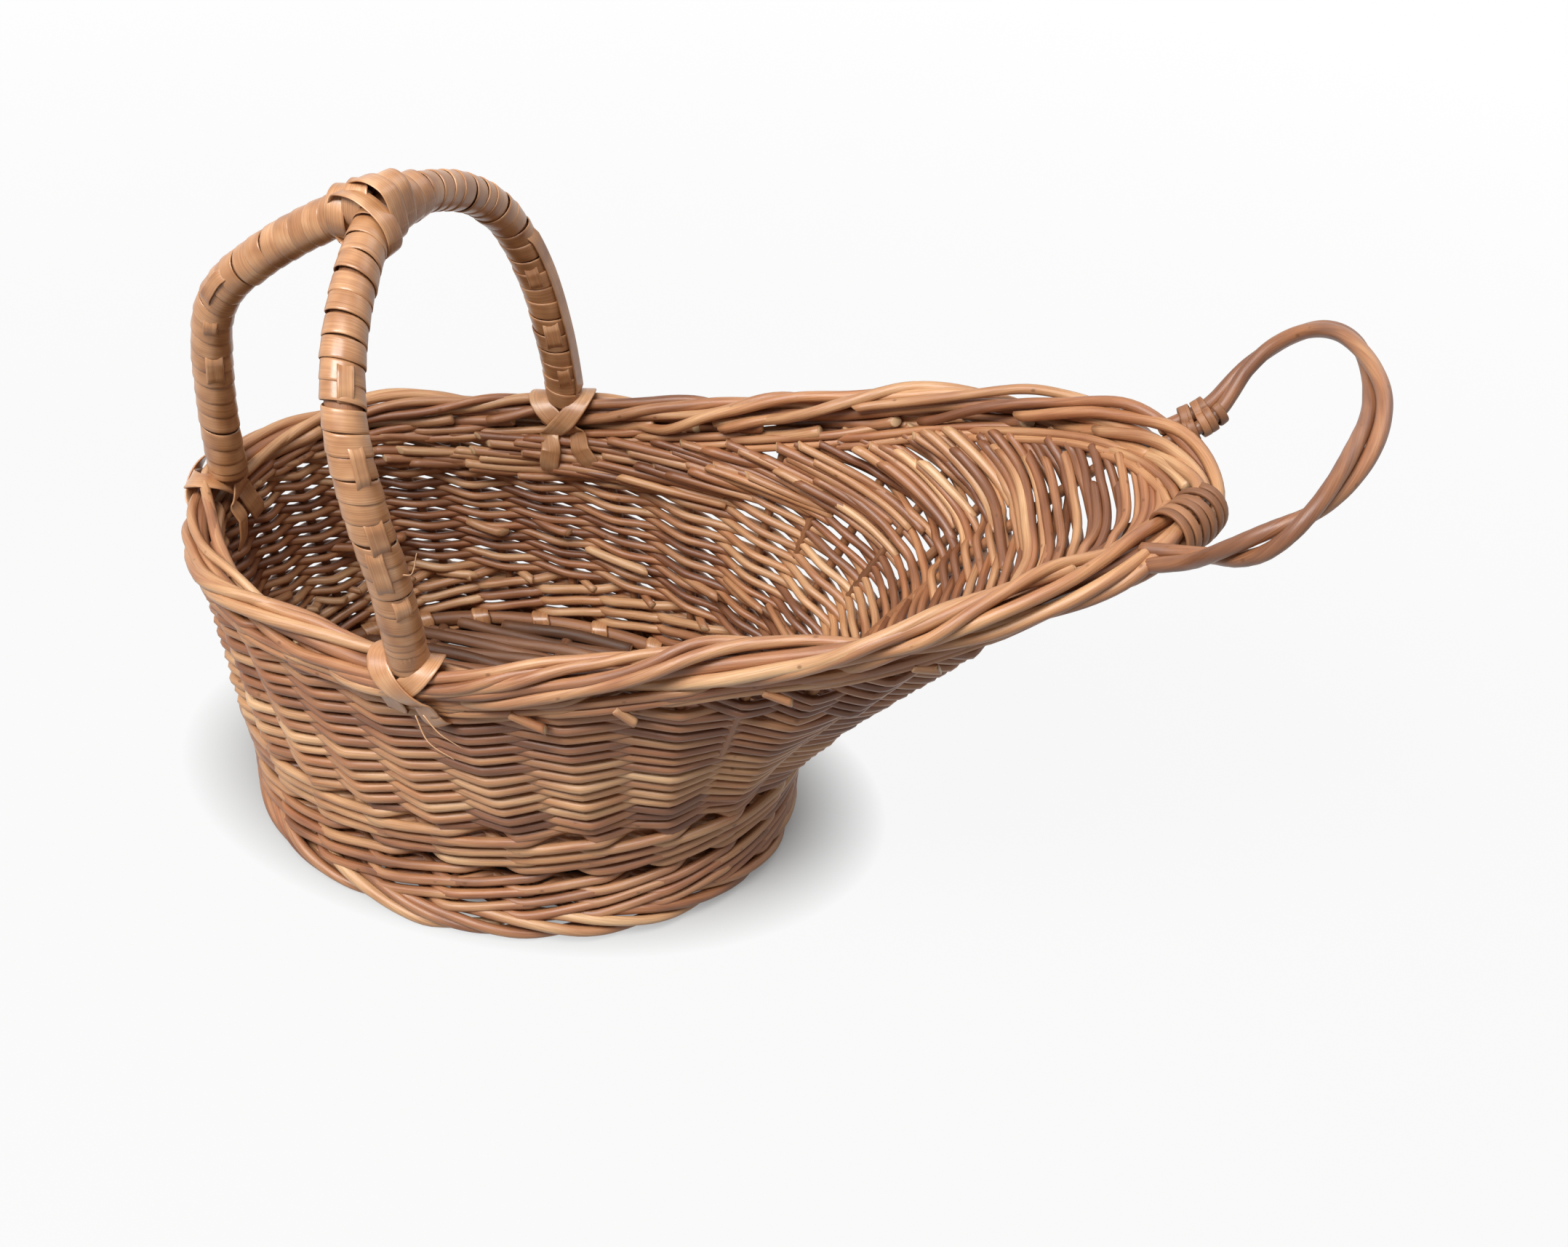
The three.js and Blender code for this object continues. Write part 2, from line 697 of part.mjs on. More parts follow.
const handleFeet = { near: stakeCount - handleStake, far: handleStake, rear: stakeCount / 2 };
Object.entries(handleFeet).forEach(([name, stake]) => {
  lapping(`lap_${name}_under`, stake, 1, lapInside);
  lapping(`lap_${name}_over`, stake, -1, lapOver);
});

// Lapping where the rear leg meets the bow: two canes that cross over the joint and under it

const jointSamples = [
  ...stretch(bowCurve, bowLength / 2 - 2 * junctionReach, bowLength / 2 + 2 * junctionReach, 80),
  ...stretch(rearCurve, rearEnd - 2 * junctionReach, rearEnd, 40),
];

function jointLap(name, hand, layer) {
  const middle = bowCurve.getPointAt(0.5);
  const aside = new THREE.Vector3(-hand, 1, 0).normalize();
  const ahead = new THREE.Vector3(1, hand, 0).normalize();
  const clear = wrapInside + layer * (caneThickness + 2.5 * clearance) + clearance / 2;
  const places = spread(0, 360, 20).slice(0, -1).map((degrees) => {
    const angle = THREE.MathUtils.degToRad(degrees);
    const outward = ahead.clone().multiplyScalar(Math.cos(angle)).addScaledVector(up, Math.sin(angle));
    const edges = (radius) => [-0.5, 0, 0.5].map((share) =>
      step(step(middle, outward, radius), aside, share * lapWidth));
    let radius = clear;
    while (edges(radius).some((edge) => jointSamples.some((core) => edge.distanceTo(core) < clear))) {
      radius += clearance / 3;
    }
    return { point: step(middle, outward, radius), outward };
  });
  addPart(name, strip(withRuns(places, true), lapWidth, caneThickness, true), "cane");
}

jointLap("joint_lap_under", 1, 0);
jointLap("joint_lap_over", -1, 1);

// Loop for the bottle's mouth

// Half outline of the loop from a foot to the front: shares of the reach past the tip, of the half
// width and of the rise over the tip
const loopOutline = [
  [-0.05, 0.731, 0.166],
  [0.167, 0.933, 0.431],
  [0.384, 1, 0.644],
  [0.6, 0.933, 0.823],
  [0.816, 0.676, 0.961],
];

function loopPlace([reach, width, rise], side) {
  return new THREE.Vector3(
    spoutReach + reach * loopReach, side * width * loopWidth / 2, spoutHeight + rise * loopRise);
}

const loopRodRadius = loopRodDiameter / 2;
const twistRadius = loopRodRadius + clearance;
const loopSteps = 36;

function loopRoot(side) {
  const share = (side * loopFoot / rimCurve.getLength() + 1) % 1;
  const rim = rimCurve.getPointAt(share);
  const towards = heading(rim, loopPlace(loopOutline[0], side));
  return step(rim, towards, endShort(towards, rimCurve.getTangentAt(share), twistRadius));
}

const loopCurve = new THREE.CatmullRomCurve3([
  loopRoot(-1),
  ...loopOutline.map((place) => loopPlace(place, -1)),
  loopPlace([1, 0, 1], 1),
  ...loopOutline.map((place) => loopPlace(place, 1)).reverse(),
  loopRoot(1),
]);
const loopLength = loopCurve.getLength();

function loopRod(name, startTurn) {
  const path = spread(0, 1, loopSteps).map((share) => {
    const turn = startTurn + share * loopTurns * 2 * Math.PI;
    const [side, over] = across(loopCurve.getTangentAt(share), alongX);
    const middle = loopCurve.getPointAt(share);
    return step(step(middle, side, twistRadius * Math.cos(turn)), over, twistRadius * Math.sin(turn));
  });
  addPart(name, rodThrough(path, loopRodRadius, 6, alongX), "willow");
}

loopRod("loop_rod_a", 0);
loopRod("loop_rod_b", Math.PI);

// Binding of the loop's far end; its near end is tucked into the border
const bindingPitch = bindingDiameter + caneGap;
const bindingLength = bindingLoops * bindingPitch + bindingDiameter;
const bindingEnd = loopLength - bindingDiameter;
winding("loop_binding", loopCurve, bindingEnd - bindingLength, bindingEnd, bindingLoops,
  twistRadius + loopRodRadius + clearance, rodSection(bindingDiameter), alongX, "willow");

// Binding of the tip, round the border beside the front stake
const tipBindingEnd = tipBindingStart + tipBindingLoops * bindingPitch + bindingDiameter;
winding("tip_binding", rimCurve, -tipBindingEnd, -tipBindingStart, tipBindingLoops,
  borderRadius + clearance, rodSection(bindingDiameter), up, "willow");

// Origin: the middle of the whole basket's box, on the ground
const box = new THREE.Box3().setFromObject(basket);
const centre = box.getCenter(new THREE.Vector3());
basket.position.set(-centre.x, -centre.y, 0);

export default basket;
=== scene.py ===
import math

import bpy
import numpy as np
from mathutils import Matrix, Vector


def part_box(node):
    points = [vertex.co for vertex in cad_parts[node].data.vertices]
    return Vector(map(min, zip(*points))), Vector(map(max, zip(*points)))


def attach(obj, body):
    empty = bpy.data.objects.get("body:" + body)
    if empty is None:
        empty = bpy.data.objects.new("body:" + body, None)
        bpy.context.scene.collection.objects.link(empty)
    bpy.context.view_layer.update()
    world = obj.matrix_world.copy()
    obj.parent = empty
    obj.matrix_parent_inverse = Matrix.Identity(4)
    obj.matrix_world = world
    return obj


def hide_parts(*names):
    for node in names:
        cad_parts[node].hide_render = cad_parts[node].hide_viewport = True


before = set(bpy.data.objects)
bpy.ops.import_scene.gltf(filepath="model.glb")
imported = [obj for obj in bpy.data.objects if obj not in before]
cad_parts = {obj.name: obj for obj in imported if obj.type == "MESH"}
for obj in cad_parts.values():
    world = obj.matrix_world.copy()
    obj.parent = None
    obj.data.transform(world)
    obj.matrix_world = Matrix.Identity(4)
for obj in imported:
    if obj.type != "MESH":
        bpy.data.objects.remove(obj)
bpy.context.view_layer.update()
print("stage: frame loaded")

millimetre = 0.001
footLow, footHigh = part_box("foot_border")
middle = np.array([(footLow.x + footHigh.x) / 2, (footLow.y + footHigh.y) / 2, 0.0])
upward = np.array([0.0, 0.0, 1.0])
forward = np.array([1.0, 0.0, 0.0])
leftward = np.array([0.0, 1.0, 0.0])
fullTurn = 2 * math.pi

# The body of the basket: sizes that the pieces share
body = {
    "hoopLength": 172.0,
    "hoopWidth": 106.0,
    "hoopHeight": 21.7,
    "hoopRod": 5.0,
    "footLength": 188.0,
    "footWidth": 143.6,
    "footBorder": 10.0,
    "footFlat": 0.5,
    "stakes": 24,
    "stakeRod": 3.2,
    "spoutPlaces": 3,  # how far from the front, in stakes, the bye stakes go
    "byeStart": 62.0,
    "splay": 0.1,
    "rimWidth": 129.4,
    "rimRear": 93.5,
    "rimHeight": 107.4,
    "spoutReach": 203.6,
    "spoutHeight": 162.6,
    "border": 12.4,
    "fan": 0.21,
    "fanBend": 0.8,
}

# Half outline of the rim from the tip to the rear: shares of reach, half width and rise
rimOutline = [
    (1, 0, 1),
    (0.955, 0.29, 0.995),
    (0.845, 0.575, 0.9),
    (0.66, 0.82, 0.665),
    (0.44, 0.893, 0.388),
    (0.22, 0.972, 0.155),
    (0.02, 1, 0.018),
    (-0.32, 0.905, 0),
    (-0.66, 0.735, 0.02),
    (-0.905, 0.41, 0.02),
    (-1, 0, 0.02),
]


def unit(vectors):
    return vectors / np.maximum(np.linalg.norm(vectors, axis=-1, keepdims=True), 1e-9)


def smoothPath(points, closed=False, between=40):
    # A cubic through every point whose speed goes with the root of the spacing, so it never loops
    points = np.asarray(points, float)
    if closed:
        start, end = points, np.roll(points, -1, 0)
        before, after = np.roll(points, 1, 0), np.roll(points, -2, 0)
    else:
        start, end = points[:-1], points[1:]
        before = np.vstack([2 * points[:1] - points[1:2], points[:-2]])
        after = np.vstack([points[2:], 2 * points[-1:] - points[-2:-1]])
    first, second, third = [
        np.sqrt(np.linalg.norm(b - a, axis=1, keepdims=True))
        for a, b in ((before, start), (start, end), (end, after))
    ]
    leave = (start - before) / first - (end - before) / (first + second) + (end - start) / second
    arrive = (end - start) / second - (after - start) / (second + third) + (after - end) / third
    leave, arrive = leave * second, arrive * second
    t = np.linspace(0, 1, between, endpoint=False)[None, :, None]
    a, b, c, d = [x[:, None, :] for x in (start, leave, end, arrive)]
    curve = (a * (2 * t**3 - 3 * t**2 + 1) + b * (t**3 - 2 * t**2 + t)
             + c * (3 * t**2 - 2 * t**3) + d * (t**3 - t**2))
    samples = np.vstack([curve.reshape(-1, 3), points[:1] if closed else points[-1:]])
    return samples, lengthsOf(samples)


def lengthsOf(samples):
    steps = np.linalg.norm(np.diff(samples, axis=0), axis=1)
    return np.concatenate([[0.0], np.cumsum(steps)])


def runOf(points):
    return unit(np.gradient(points, axis=0))


def pointAt(path, distance, closed=False):
    samples, lengths = path
    distance = np.asarray(distance, float)
    distance = distance % lengths[-1] if closed else distance
    return np.stack([np.interp(distance, lengths, samples[:, k]) for k in range(3)], -1)


def runAt(path, distance, closed=False, span=0.8):
    # Direction of the path, from the points a span before and behind
    total = path[1][-1]
    low, high = distance - span, distance + span
    if not closed:
        low, high = np.clip(low, 0, total - 2 * span), np.clip(high, 2 * span, total)
    return unit(pointAt(path, high, closed) - pointAt(path, low, closed))


def evenSteps(points, step):
    # The same line with points a set distance apart
    lengths = lengthsOf(points)
    count = max(4, int(round(lengths[-1] / step)) + 1)
    return pointAt((points, lengths), np.linspace(0, lengths[-1], count))


def across(run, reference):
    # Two directions square to the run: side = run x reference, over = side x run
    side = unit(np.cross(run, reference))
    return side, np.cross(side, run)


def around(side, over, angle):
    # side * cos(angle) + over * sin(angle): outward from a path at an angle round it
    return side * np.cos(angle)[:, None] + over * np.sin(angle)[:, None]


def wander(rng, count, size, smooth):
    # Smooth random drift along a row of points: noise averaged over 2 * smooth + 1 neighbours
    rough = rng.normal(size=count + 2 * smooth)
    window = np.hanning(2 * smooth + 1)
    soft = np.convolve(rough, window / np.sqrt((window**2).sum()), mode="same")
    return size * soft[smooth:smooth + count]


# Ovals of the plan. A stake number tells the place round the basket, and 0 is the front.

def angleOf(stake):
    return np.asarray(stake, float) / body["stakes"] * fullTurn


def oval(length, width, height, angle):
    # x = length / 2 * cos(angle), y = width / 2 * sin(angle), z = height
    angle = np.asarray(angle, float)
    return np.stack(np.broadcast_arrays(length / 2 * np.cos(angle), width / 2 * np.sin(angle),
                                        np.asarray(height, float)), -1)


def ovalOutward(length, width, angle):
    # An oval's normal is the oval of the inverse sizes, made one long
    return unit(oval(2 / length, 2 / width, 0.0, angle))


def fromFront(stake):
    # Stakes from the front, the near side negative
    half = body["stakes"] / 2
    return (np.asarray(stake, float) + half) % body["stakes"] - half


def rimPlace(reach, width, rise, side):
    length = body["spoutReach"] if reach > 0 else body["rimRear"]
    return [reach * length, side * width * body["rimWidth"] / 2,
            body["rimHeight"] + rise * (body["spoutHeight"] - body["rimHeight"])]


rimPath = smoothPath([rimPlace(*row, 1) for row in rimOutline]
                     + [rimPlace(*row, -1) for row in rimOutline[-2:0:-1]], closed=True, between=60)
rimLength = rimPath[1][-1]


def rimDistance(stake):
    # Where a stake reaches the rim: share q of the half rim plus fan * sin(pi * q^0.8), so that the front
    # stakes fan out into the spout
    place = fromFront(stake)
    q = np.abs(place) / (body["stakes"] / 2)
    return np.sign(place) * (q + body["fan"] * np.sin(math.pi * q**body["fanBend"])) / 2 * rimLength


def frontShare(stake, reach):
    # 1 at the front, falling by a cosine to 0 at a reach in stakes
    return (1 + np.cos(math.pi * np.minimum(1, np.abs(fromFront(stake)) / reach))) / 2


# The wall's middle surface: a table of points by place round the tub and distance up a stake

wall = {
    "placesPerStake": 16,
    "samples": 90,
    "below": 10,    # how far the table runs on past the hoop and past the rim
    "above": 30,
    "clearance": 0.3,
    "stakeHalf": 1.5,
    "leaving": 0.35,    # pull of the two ends of each arc, as shares of its reach
    "arriving": 0.35,
    "spoutLeaving": -0.1,    # what the spout adds to each
    "spoutArriving": 0.05,
    "keelReach": 1.2,
    "keelBend": [0.24, 0, -0.16],
}


def buildWall():
    # One cubic arc for each place, from beside the hoop up to the rim, run on straight past both ends
    stake = np.arange(body["stakes"] * wall["placesPerStake"]) / wall["placesPerStake"]
    outward = ovalOutward(body["hoopLength"], body["hoopWidth"], angleOf(stake))
    start = oval(body["hoopLength"], body["hoopWidth"], body["hoopHeight"], angleOf(stake))
    start = start + outward * (body["hoopRod"] / 2 + wall["clearance"] + wall["stakeHalf"])
    distance = rimDistance(stake)
    rim, rimRun = pointAt(rimPath, distance, True), runAt(rimPath, distance, True)
    spout = frontShare(stake, body["spoutPlaces"] + 1)[:, None]
    keel = frontShare(stake, wall["keelReach"])[:, None]
    leave = unit(upward + body["splay"] * outward)
    arrive = unit(unit(rim - start) + keel * np.array(wall["keelBend"]))
    slant = np.abs((arrive * rimRun).sum(1, keepdims=True))
    back = body["border"] / 2 + wall["clearance"] + wall["stakeHalf"] * slant
    end = rim - arrive * back / np.sqrt(1 - slant**2)
    reach = np.linalg.norm(end - start, axis=1, keepdims=True)
    near = start + leave * reach * (wall["leaving"] + wall["spoutLeaving"] * spout)
    far = end - arrive * reach * (wall["arriving"] + wall["spoutArriving"] * spout)
    t = np.linspace(0, 1, wall["samples"])[None, :, None]
    curves = sum(weight * point[:, None, :] for weight, point in zip(
        ((1 - t)**3, 3 * t * (1 - t)**2, 3 * t**2 * (1 - t), t**3), (start, near, far, end)))
    lengths = np.array([lengthsOf(curve)[-1] for curve in curves])
    levels = np.arange(-wall["below"], int(lengths.max()) + wall["above"])
    table = []
    for curve, first, last in zip(curves, leave, arrive):
        line = np.vstack([curve[0] - first * wall["below"], curve, curve[-1] + last * 2 * wall["above"]])
        table.append(pointAt((line, lengthsOf(line)), levels + wall["below"]))
    points = np.array(table)
    onward = np.roll(points, -1, 0) - np.roll(points, 1, 0)
    rising = np.gradient(points, axis=1)
    return points, unit(np.cross(onward, rising)), np.append(lengths, lengths[0])


wallPoints, wallNormals, wallLengths = buildWall()


def wallLength(stake):
    # Distance up the wall from the hoop to the border of the rim
    places = np.arange(len(wallLengths)) / wall["placesPerStake"]
    return np.interp(np.asarray(stake, float) % body["stakes"], places, wallLengths)


def wallAt(stake, reach):
    # Point and outward direction on the wall, between the four nearest entries of the table
    column = (np.asarray(stake, float) % body["stakes"]) * wall["placesPerStake"]
    row = np.clip(np.asarray(reach, float) + wall["below"], 0, wallPoints.shape[1] - 1.001)
    column, row = np.broadcast_arrays(column, row)
    low, under = np.floor(column).astype(int), np.floor(row).astype(int)
    right, rise = (column - low)[..., None], (row - under)[..., None]
    low = low % len(wallPoints)
    high = (low + 1) % len(wallPoints)

    def blend(table):
        bottom = table[low, under] * (1 - right) + table[high, under] * right
        top = table[low, under + 1] * (1 - right) + table[high, under + 1] * right
        return bottom * (1 - rise) + top * rise

    return blend(wallPoints), unit(blend(wallNormals))


def footPoint(stake, height):
    # Line of the foot, from the middle of its border up to where the stakes pass the hoop
    border = body["footBorder"]
    level = border / 2 - body["footFlat"]
    low = oval(body["footLength"] - border, body["footWidth"] - border, level, angleOf(stake))
    share = (np.asarray(height, float) - level) / (body["hoopHeight"] - level)
    return low + (wallAt(stake, 0.0)[0] - low) * share[..., None]


print("stage: wall surface worked out")


# Swept skins

grainStart = (0, 900)    # millimetres by which one rod's grain is shifted from another's
chamfer = {"length": 0.22, "narrowing": 0.75}    # of a cut end, as shares of the rod's half thickness


def roundSection(radius, sides):
    angle = np.arange(sides) / sides * fullTurn
    return np.stack([radius * np.cos(angle), radius * np.sin(angle)], 1)


def caneSection(width, thickness, raised=0.0):
    # Flat strip with rounded edges and a slightly crowned face, one edge raised over its neighbour
    place = np.array([-0.46, -0.34, 0.34, 0.46, 0.5, 0.46, 0.36, 0, -0.36, -0.46, -0.5])
    out = np.array([0.08, 0, 0, 0.08, 0.5, 0.9, 0.97, 1, 0.97, 0.9, 0.5])
    return np.stack([-place * width, out * thickness + raised * (place + 0.5)], 1)[::-1]


def sweep(path, section, reference, scale=1.0, closed=False, tone=0.5, slant=(0.0, 0.0), offset=0.0):
    # point(t, a) = path(t) + scale(t) * (sx(a) * side(t) + sy(a) * over(t)), where side = run x reference
    # and over = side x run. Open ends draw in to a small chamfer and a flat cut.
    path = np.asarray(path, float)
    run = unit(np.roll(path, -1, 0) - np.roll(path, 1, 0)) if closed else runOf(path)
    side, over = across(run, np.broadcast_to(reference, path.shape))
    scale = np.array(np.broadcast_to(scale, len(path)), float)
    along = lengthsOf(path)
    cut = np.zeros(len(path))
    if not closed:
        draw = chamfer["length"] * np.abs(section).max()
        ends = np.array([path[0] - run[0] * draw * scale[0], path[-1] + run[-1] * draw * scale[-1]])
        path = np.vstack([ends[:1], path, ends[1:]])
        run, side, over = [np.vstack([v[:1], v, v[-1:]]) for v in (run, side, over)]
        scale = np.concatenate([scale[:1] * chamfer["narrowing"], scale, scale[-1:] * chamfer["narrowing"]])
        along = np.concatenate([along[:1], along, along[-1:]])
        cut = np.concatenate([[1.0], cut, [1.0]])
    sx, sy = section[:, 0][None, :, None], section[:, 1][None, :, None]
    grown = scale[:, None, None]
    points = path[:, None, :] + grown * (sx * side[:, None, :] + sy * over[:, None, :])
    if not closed:
        points[:2] += slant[0] * run[:2, None, :] * section[None, :, :1] * grown[:2]
        points[-2:] += slant[1] * run[-2:, None, :] * section[None, :, :1] * grown[-2:]
    # Grain: millimetres along the rod, and the place in its cross section
    grain = np.concatenate([np.broadcast_to(values, points.shape[:2] + (1,)) for values in
                            (along[:, None, None] + offset, sx * grown, sy * grown)], axis=2)
    return {"points": points, "grain": grain, "cut": np.repeat(cut, len(section)),
            "tone": np.full(points.shape[0] * points.shape[1], tone), "closed": closed}


def facesOf(rings, sides, closed, base):
    # Quads between rings, and a flat face over each open end
    ring = np.arange(rings if closed else rings - 1)[:, None]
    place = np.arange(sides)[None, :]
    following, beside = (ring + 1) % rings, (place + 1) % sides
    quads = np.stack([row * sides + column for row, column in (
        (ring, place), (following, place), (following, beside), (ring, beside))], -1).reshape(-1, 4)
    ends = [] if closed else [np.arange(sides), (rings - 1) * sides + np.arange(sides)[::-1]]
    return quads + base, [end + base for end in ends]


def makePiece(name, skins, material, nodes=()):
    # One mesh from many skins, with the attributes that the materials read
    quads, ends, base = [], [], 0
    for skin in skins:
        rings, sides = skin["points"].shape[:2]
        skinQuads, skinEnds = facesOf(rings, sides, skin["closed"], base)
        quads.append(skinQuads)
        ends += skinEnds
        base += rings * sides
    quads = np.concatenate(quads)
    totals = np.concatenate([np.full(len(quads), 4), [len(end) for end in ends]]).astype(int)
    loops = np.concatenate([quads.ravel(), *ends]).astype(int)
    points = np.concatenate([skin["points"].reshape(-1, 3) for skin in skins])
    mesh = bpy.data.meshes.new(name)
    mesh.vertices.add(len(points))
    mesh.vertices.foreach_set("co", (points * millimetre + middle).ravel())
    mesh.loops.add(len(loops))
    mesh.loops.foreach_set("vertex_index", loops)
    mesh.polygons.add(len(totals))
    mesh.polygons.foreach_set("loop_start", np.concatenate([[0], np.cumsum(totals)[:-1]]))
    mesh.polygons.foreach_set("use_smooth", np.ones(len(totals), bool))
    for key, kind, field in (("grain", "FLOAT_VECTOR", "vector"), ("tone", "FLOAT", "value"),
                             ("cut", "FLOAT", "value")):
        values = np.concatenate([skin[key].ravel() for skin in skins])
        mesh.attributes.new(key, kind, "POINT").data.foreach_set(field, values)
    mesh.update(calc_edges=True)
    mesh.validate()
    mesh.materials.append(material)
    piece = bpy.data.objects.new(name, mesh)
    bpy.context.scene.collection.objects.link(piece)
    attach(piece, "root")
    if nodes:
        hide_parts(*nodes)


# Materials

def linear(hexColour):
    # sRGB hex to the linear colour that a shader socket takes
    values = [int(hexColour[i:i + 2], 16) / 255 for i in (1, 3, 5)]
    return [v / 12.92 if v <= 0.04045 else ((v + 0.055) / 1.055)**2.4 for v in values] + [1.0]


def addNode(tree, kind, inputs=(), stops=(), **settings):
    # A node with its settings and a ramp's stops. Inputs go by name or in order, and each takes a constant,
    # a socket, or a node, whose first output in use is linked to it.
    node = tree.nodes.new(kind)
    for key, value in settings.items():
        setattr(node, key, value)
    for key, value in inputs.items() if isinstance(inputs, dict) else enumerate(inputs):
        if isinstance(value, bpy.types.Node):
            value = next(output for output in value.outputs if output.enabled)
        if isinstance(value, bpy.types.NodeSocket):
            tree.links.new(value, node.inputs[key])
        else:
            node.inputs[key].default_value = value
    for i, (place, colour) in enumerate(stops):
        elements = node.color_ramp.elements
        element = elements[i] if i < 2 else elements.new(place)
        element.position, element.color = place, linear(colour)
    return node


def woodMaterial(name, look):
    # Grain coordinates run along each rod in millimetres, so streaks follow it however it bends
    material = bpy.data.materials.new(name)
    material.use_nodes = True
    tree = material.node_tree
    tree.nodes.clear()
    grain = addNode(tree, "ShaderNodeAttribute", attribute_name="grain").outputs["Vector"]
    tone, cut = [addNode(tree, "ShaderNodeAttribute", attribute_name=key).outputs["Fac"]
                 for key in ("tone", "cut")]

    def stretched(key):
        # Coordinates in which one unit is a pattern's size in millimetres, along the rod and round it
        length, width = look[key]
        return addNode(tree, "ShaderNodeVectorMath", (grain, (1 / length, 1 / width, 1 / width)),
                       operation="MULTIPLY")

    patches = addNode(tree, "ShaderNodeTexNoise", {
        "Vector": stretched("patchSize"), "Scale": 1.0, "Detail": 2, "Roughness": 0.55})
    streaks = addNode(tree, "ShaderNodeTexNoise", {
        "Vector": stretched("streakSize"), "Scale": 1.0, "Detail": 4, "Roughness": 0.62})
    scars = addNode(tree, "ShaderNodeTexVoronoi", {
        "Vector": stretched("scarSize"), "Scale": 1.0, "Randomness": 1.0})

    # The rod's own tone with slow changes along it, then a warmer tint on some rods, streaks, bud scars
    # and the pale wood of the cut ends
    drift = addNode(tree, "ShaderNodeMapRange", (
        patches, 0.25, 0.75, -look["patchShade"], look["patchShade"]))
    shade = addNode(tree, "ShaderNodeMath", (tone, drift), operation="ADD")
    colour = addNode(tree, "ShaderNodeValToRGB", (shade,), stops=look["colours"])
    ownNumber = addNode(tree, "ShaderNodeMath", (tone, 37.0), operation="MULTIPLY")
    ownNumber = addNode(tree, "ShaderNodeMath", (ownNumber,), operation="FRACT")
    warmed = addNode(tree, "ShaderNodeMapRange", (ownNumber, look["warmFrom"], 1.0, 0.0, look["warmShare"]))
    lines = addNode(tree, "ShaderNodeValToRGB", (streaks,), stops=look["streaks"])
    core, fade = look["scarCore"]
    scarred = addNode(tree, "ShaderNodeMapRange", (scars, core, core * fade, look["scarShare"], 0.0))
    bare = addNode(tree, "ShaderNodeMapRange", (cut, 0.5, 1.0, 0.0, look["pithShare"]))
    for share, tint, mode in (
            (warmed, linear(look["warm"]), "MULTIPLY"), (look["streakShare"], lines, "MULTIPLY"),
            (scarred, linear(look["scar"]), "MIX"), (bare, linear(look["pith"]), "MIX")):
        colour = addNode(tree, "ShaderNodeMix", {"Factor": share, "A": colour, "B": tint},
                         data_type="RGBA", blend_type=mode)

    dents = addNode(tree, "ShaderNodeMapRange", (scars, 0.0, 0.3, -look["scarDent"], 0.0))
    relief = addNode(tree, "ShaderNodeMath", (streaks, dents), operation="ADD")
    bump = addNode(tree, "ShaderNodeBump", {
        "Height": relief, "Strength": look["bump"], "Distance": look["bumpDepth"] * millimetre})
    smoothest, roughest = look["rough"]
    rough = addNode(tree, "ShaderNodeMapRange", (streaks, 0.3, 0.7, smoothest, roughest))
    shader = addNode(tree, "ShaderNodeBsdfPrincipled", {
        "Base Color": colour, "Normal": bump, "Roughness": rough, "IOR": look["ior"],
        "Specular IOR Level": look["specular"], "Coat Weight": look["coat"],
        "Coat Roughness": look["coatRoughness"]})
    addNode(tree, "ShaderNodeOutputMaterial", {"Surface": shader})
    return material


# Buff willow: boiled with its bark on and then peeled, which stains it tan. Satin, with long faint
# streaks, slow changes of tone along a rod and small dark bud scars 30 to 50 mm apart.
# Sizes are millimetres along the rod and round it. The wood's fibres are about 0.1 mm wide and are drawn
# 0.35 mm wide, so that they show.
willowLook = {
    "colours": [(0.0, "#7F5237"), (0.3, "#A7724E"), (0.62, "#C29268"), (1.0, "#DDB488")],
    "patchSize": (34.0, 6.0),
    "patchShade": 0.38,
    "warm": "#F4CBA0",    # tint of the rods that took up more colour
    "warmFrom": 0.55,
    "warmShare": 0.32,
    "streaks": [(0.3, "#AF9380"), (0.6, "#FFFFFF")],
    "streakSize": (14.0, 0.35),
    "streakShare": 0.55,
    "scar": "#68401F",
    "scarSize": (9.0, 6.0),
    "scarCore": (0.05, 2.2),    # share of a cell that is dark, and how many times that the edge fades over
    "scarShare": 0.65,
    "scarDent": 0.6,
    "pith": "#D9B98F",
    "pithShare": 0.75,
    "bump": 0.35,
    "bumpDepth": 0.25,
    "rough": (0.35, 0.51),
    "ior": 1.5,
    "specular": 0.5,
    "coat": 0.12,
    "coatRoughness": 0.35,
}
buffWillow = woodMaterial("buff_willow_peeled", willowLook)

# The same willow where it is thick and stands in the weave's shade: darker, as painted shade, and drier and
# less polished
stakeWillowShaded = woodMaterial("buff_willow_stake_painted_shade", {**willowLook,
    "colours": [(0.0, "#6C452A"), (0.35, "#8C6040"), (0.65, "#A1724F"), (1.0, "#B48661")],
    "rough": (0.45, 0.61), "coat": 0.0})

# Willow of the floor, much darker, as painted shade at the bottom of the tub, and duller
floorWillowShaded = woodMaterial("buff_willow_floor_painted_shade", {**willowLook,
    "colours": [(0.0, "#523521"), (0.35, "#6F4B33"), (0.65, "#865E44"), (1.0, "#997053")],
    "rough": (0.51, 0.67), "coat": 0.0})

# Split cane: the glossy outer skin of the stem, shaved flat. Fine straight fibres run along the strip,
# drawn 0.3 mm wide so that they show.
splitCane = woodMaterial("split_cane_glossy", {**willowLook,
    "colours": [(0.0, "#825334"), (0.35, "#AB784E"), (0.65, "#C49267"), (1.0, "#DCB188")],
    "patchSize": (9.0, 12.0), "warmShare": 0.15,
    "streaks": [(0.3, "#B59A84"), (0.62, "#FFFFFF")], "streakSize": (26.0, 0.3), "streakShare": 0.6,
    "scarSize": (14.0, 9.0), "scarCore": (0.03, 2.2), "scarShare": 0.35,
    "bump": 0.3, "bumpDepth": 0.12, "rough": (0.3, 0.46), "coat": 0.34, "coatRoughness": 0.24})
print("stage: materials made")


# Stakes

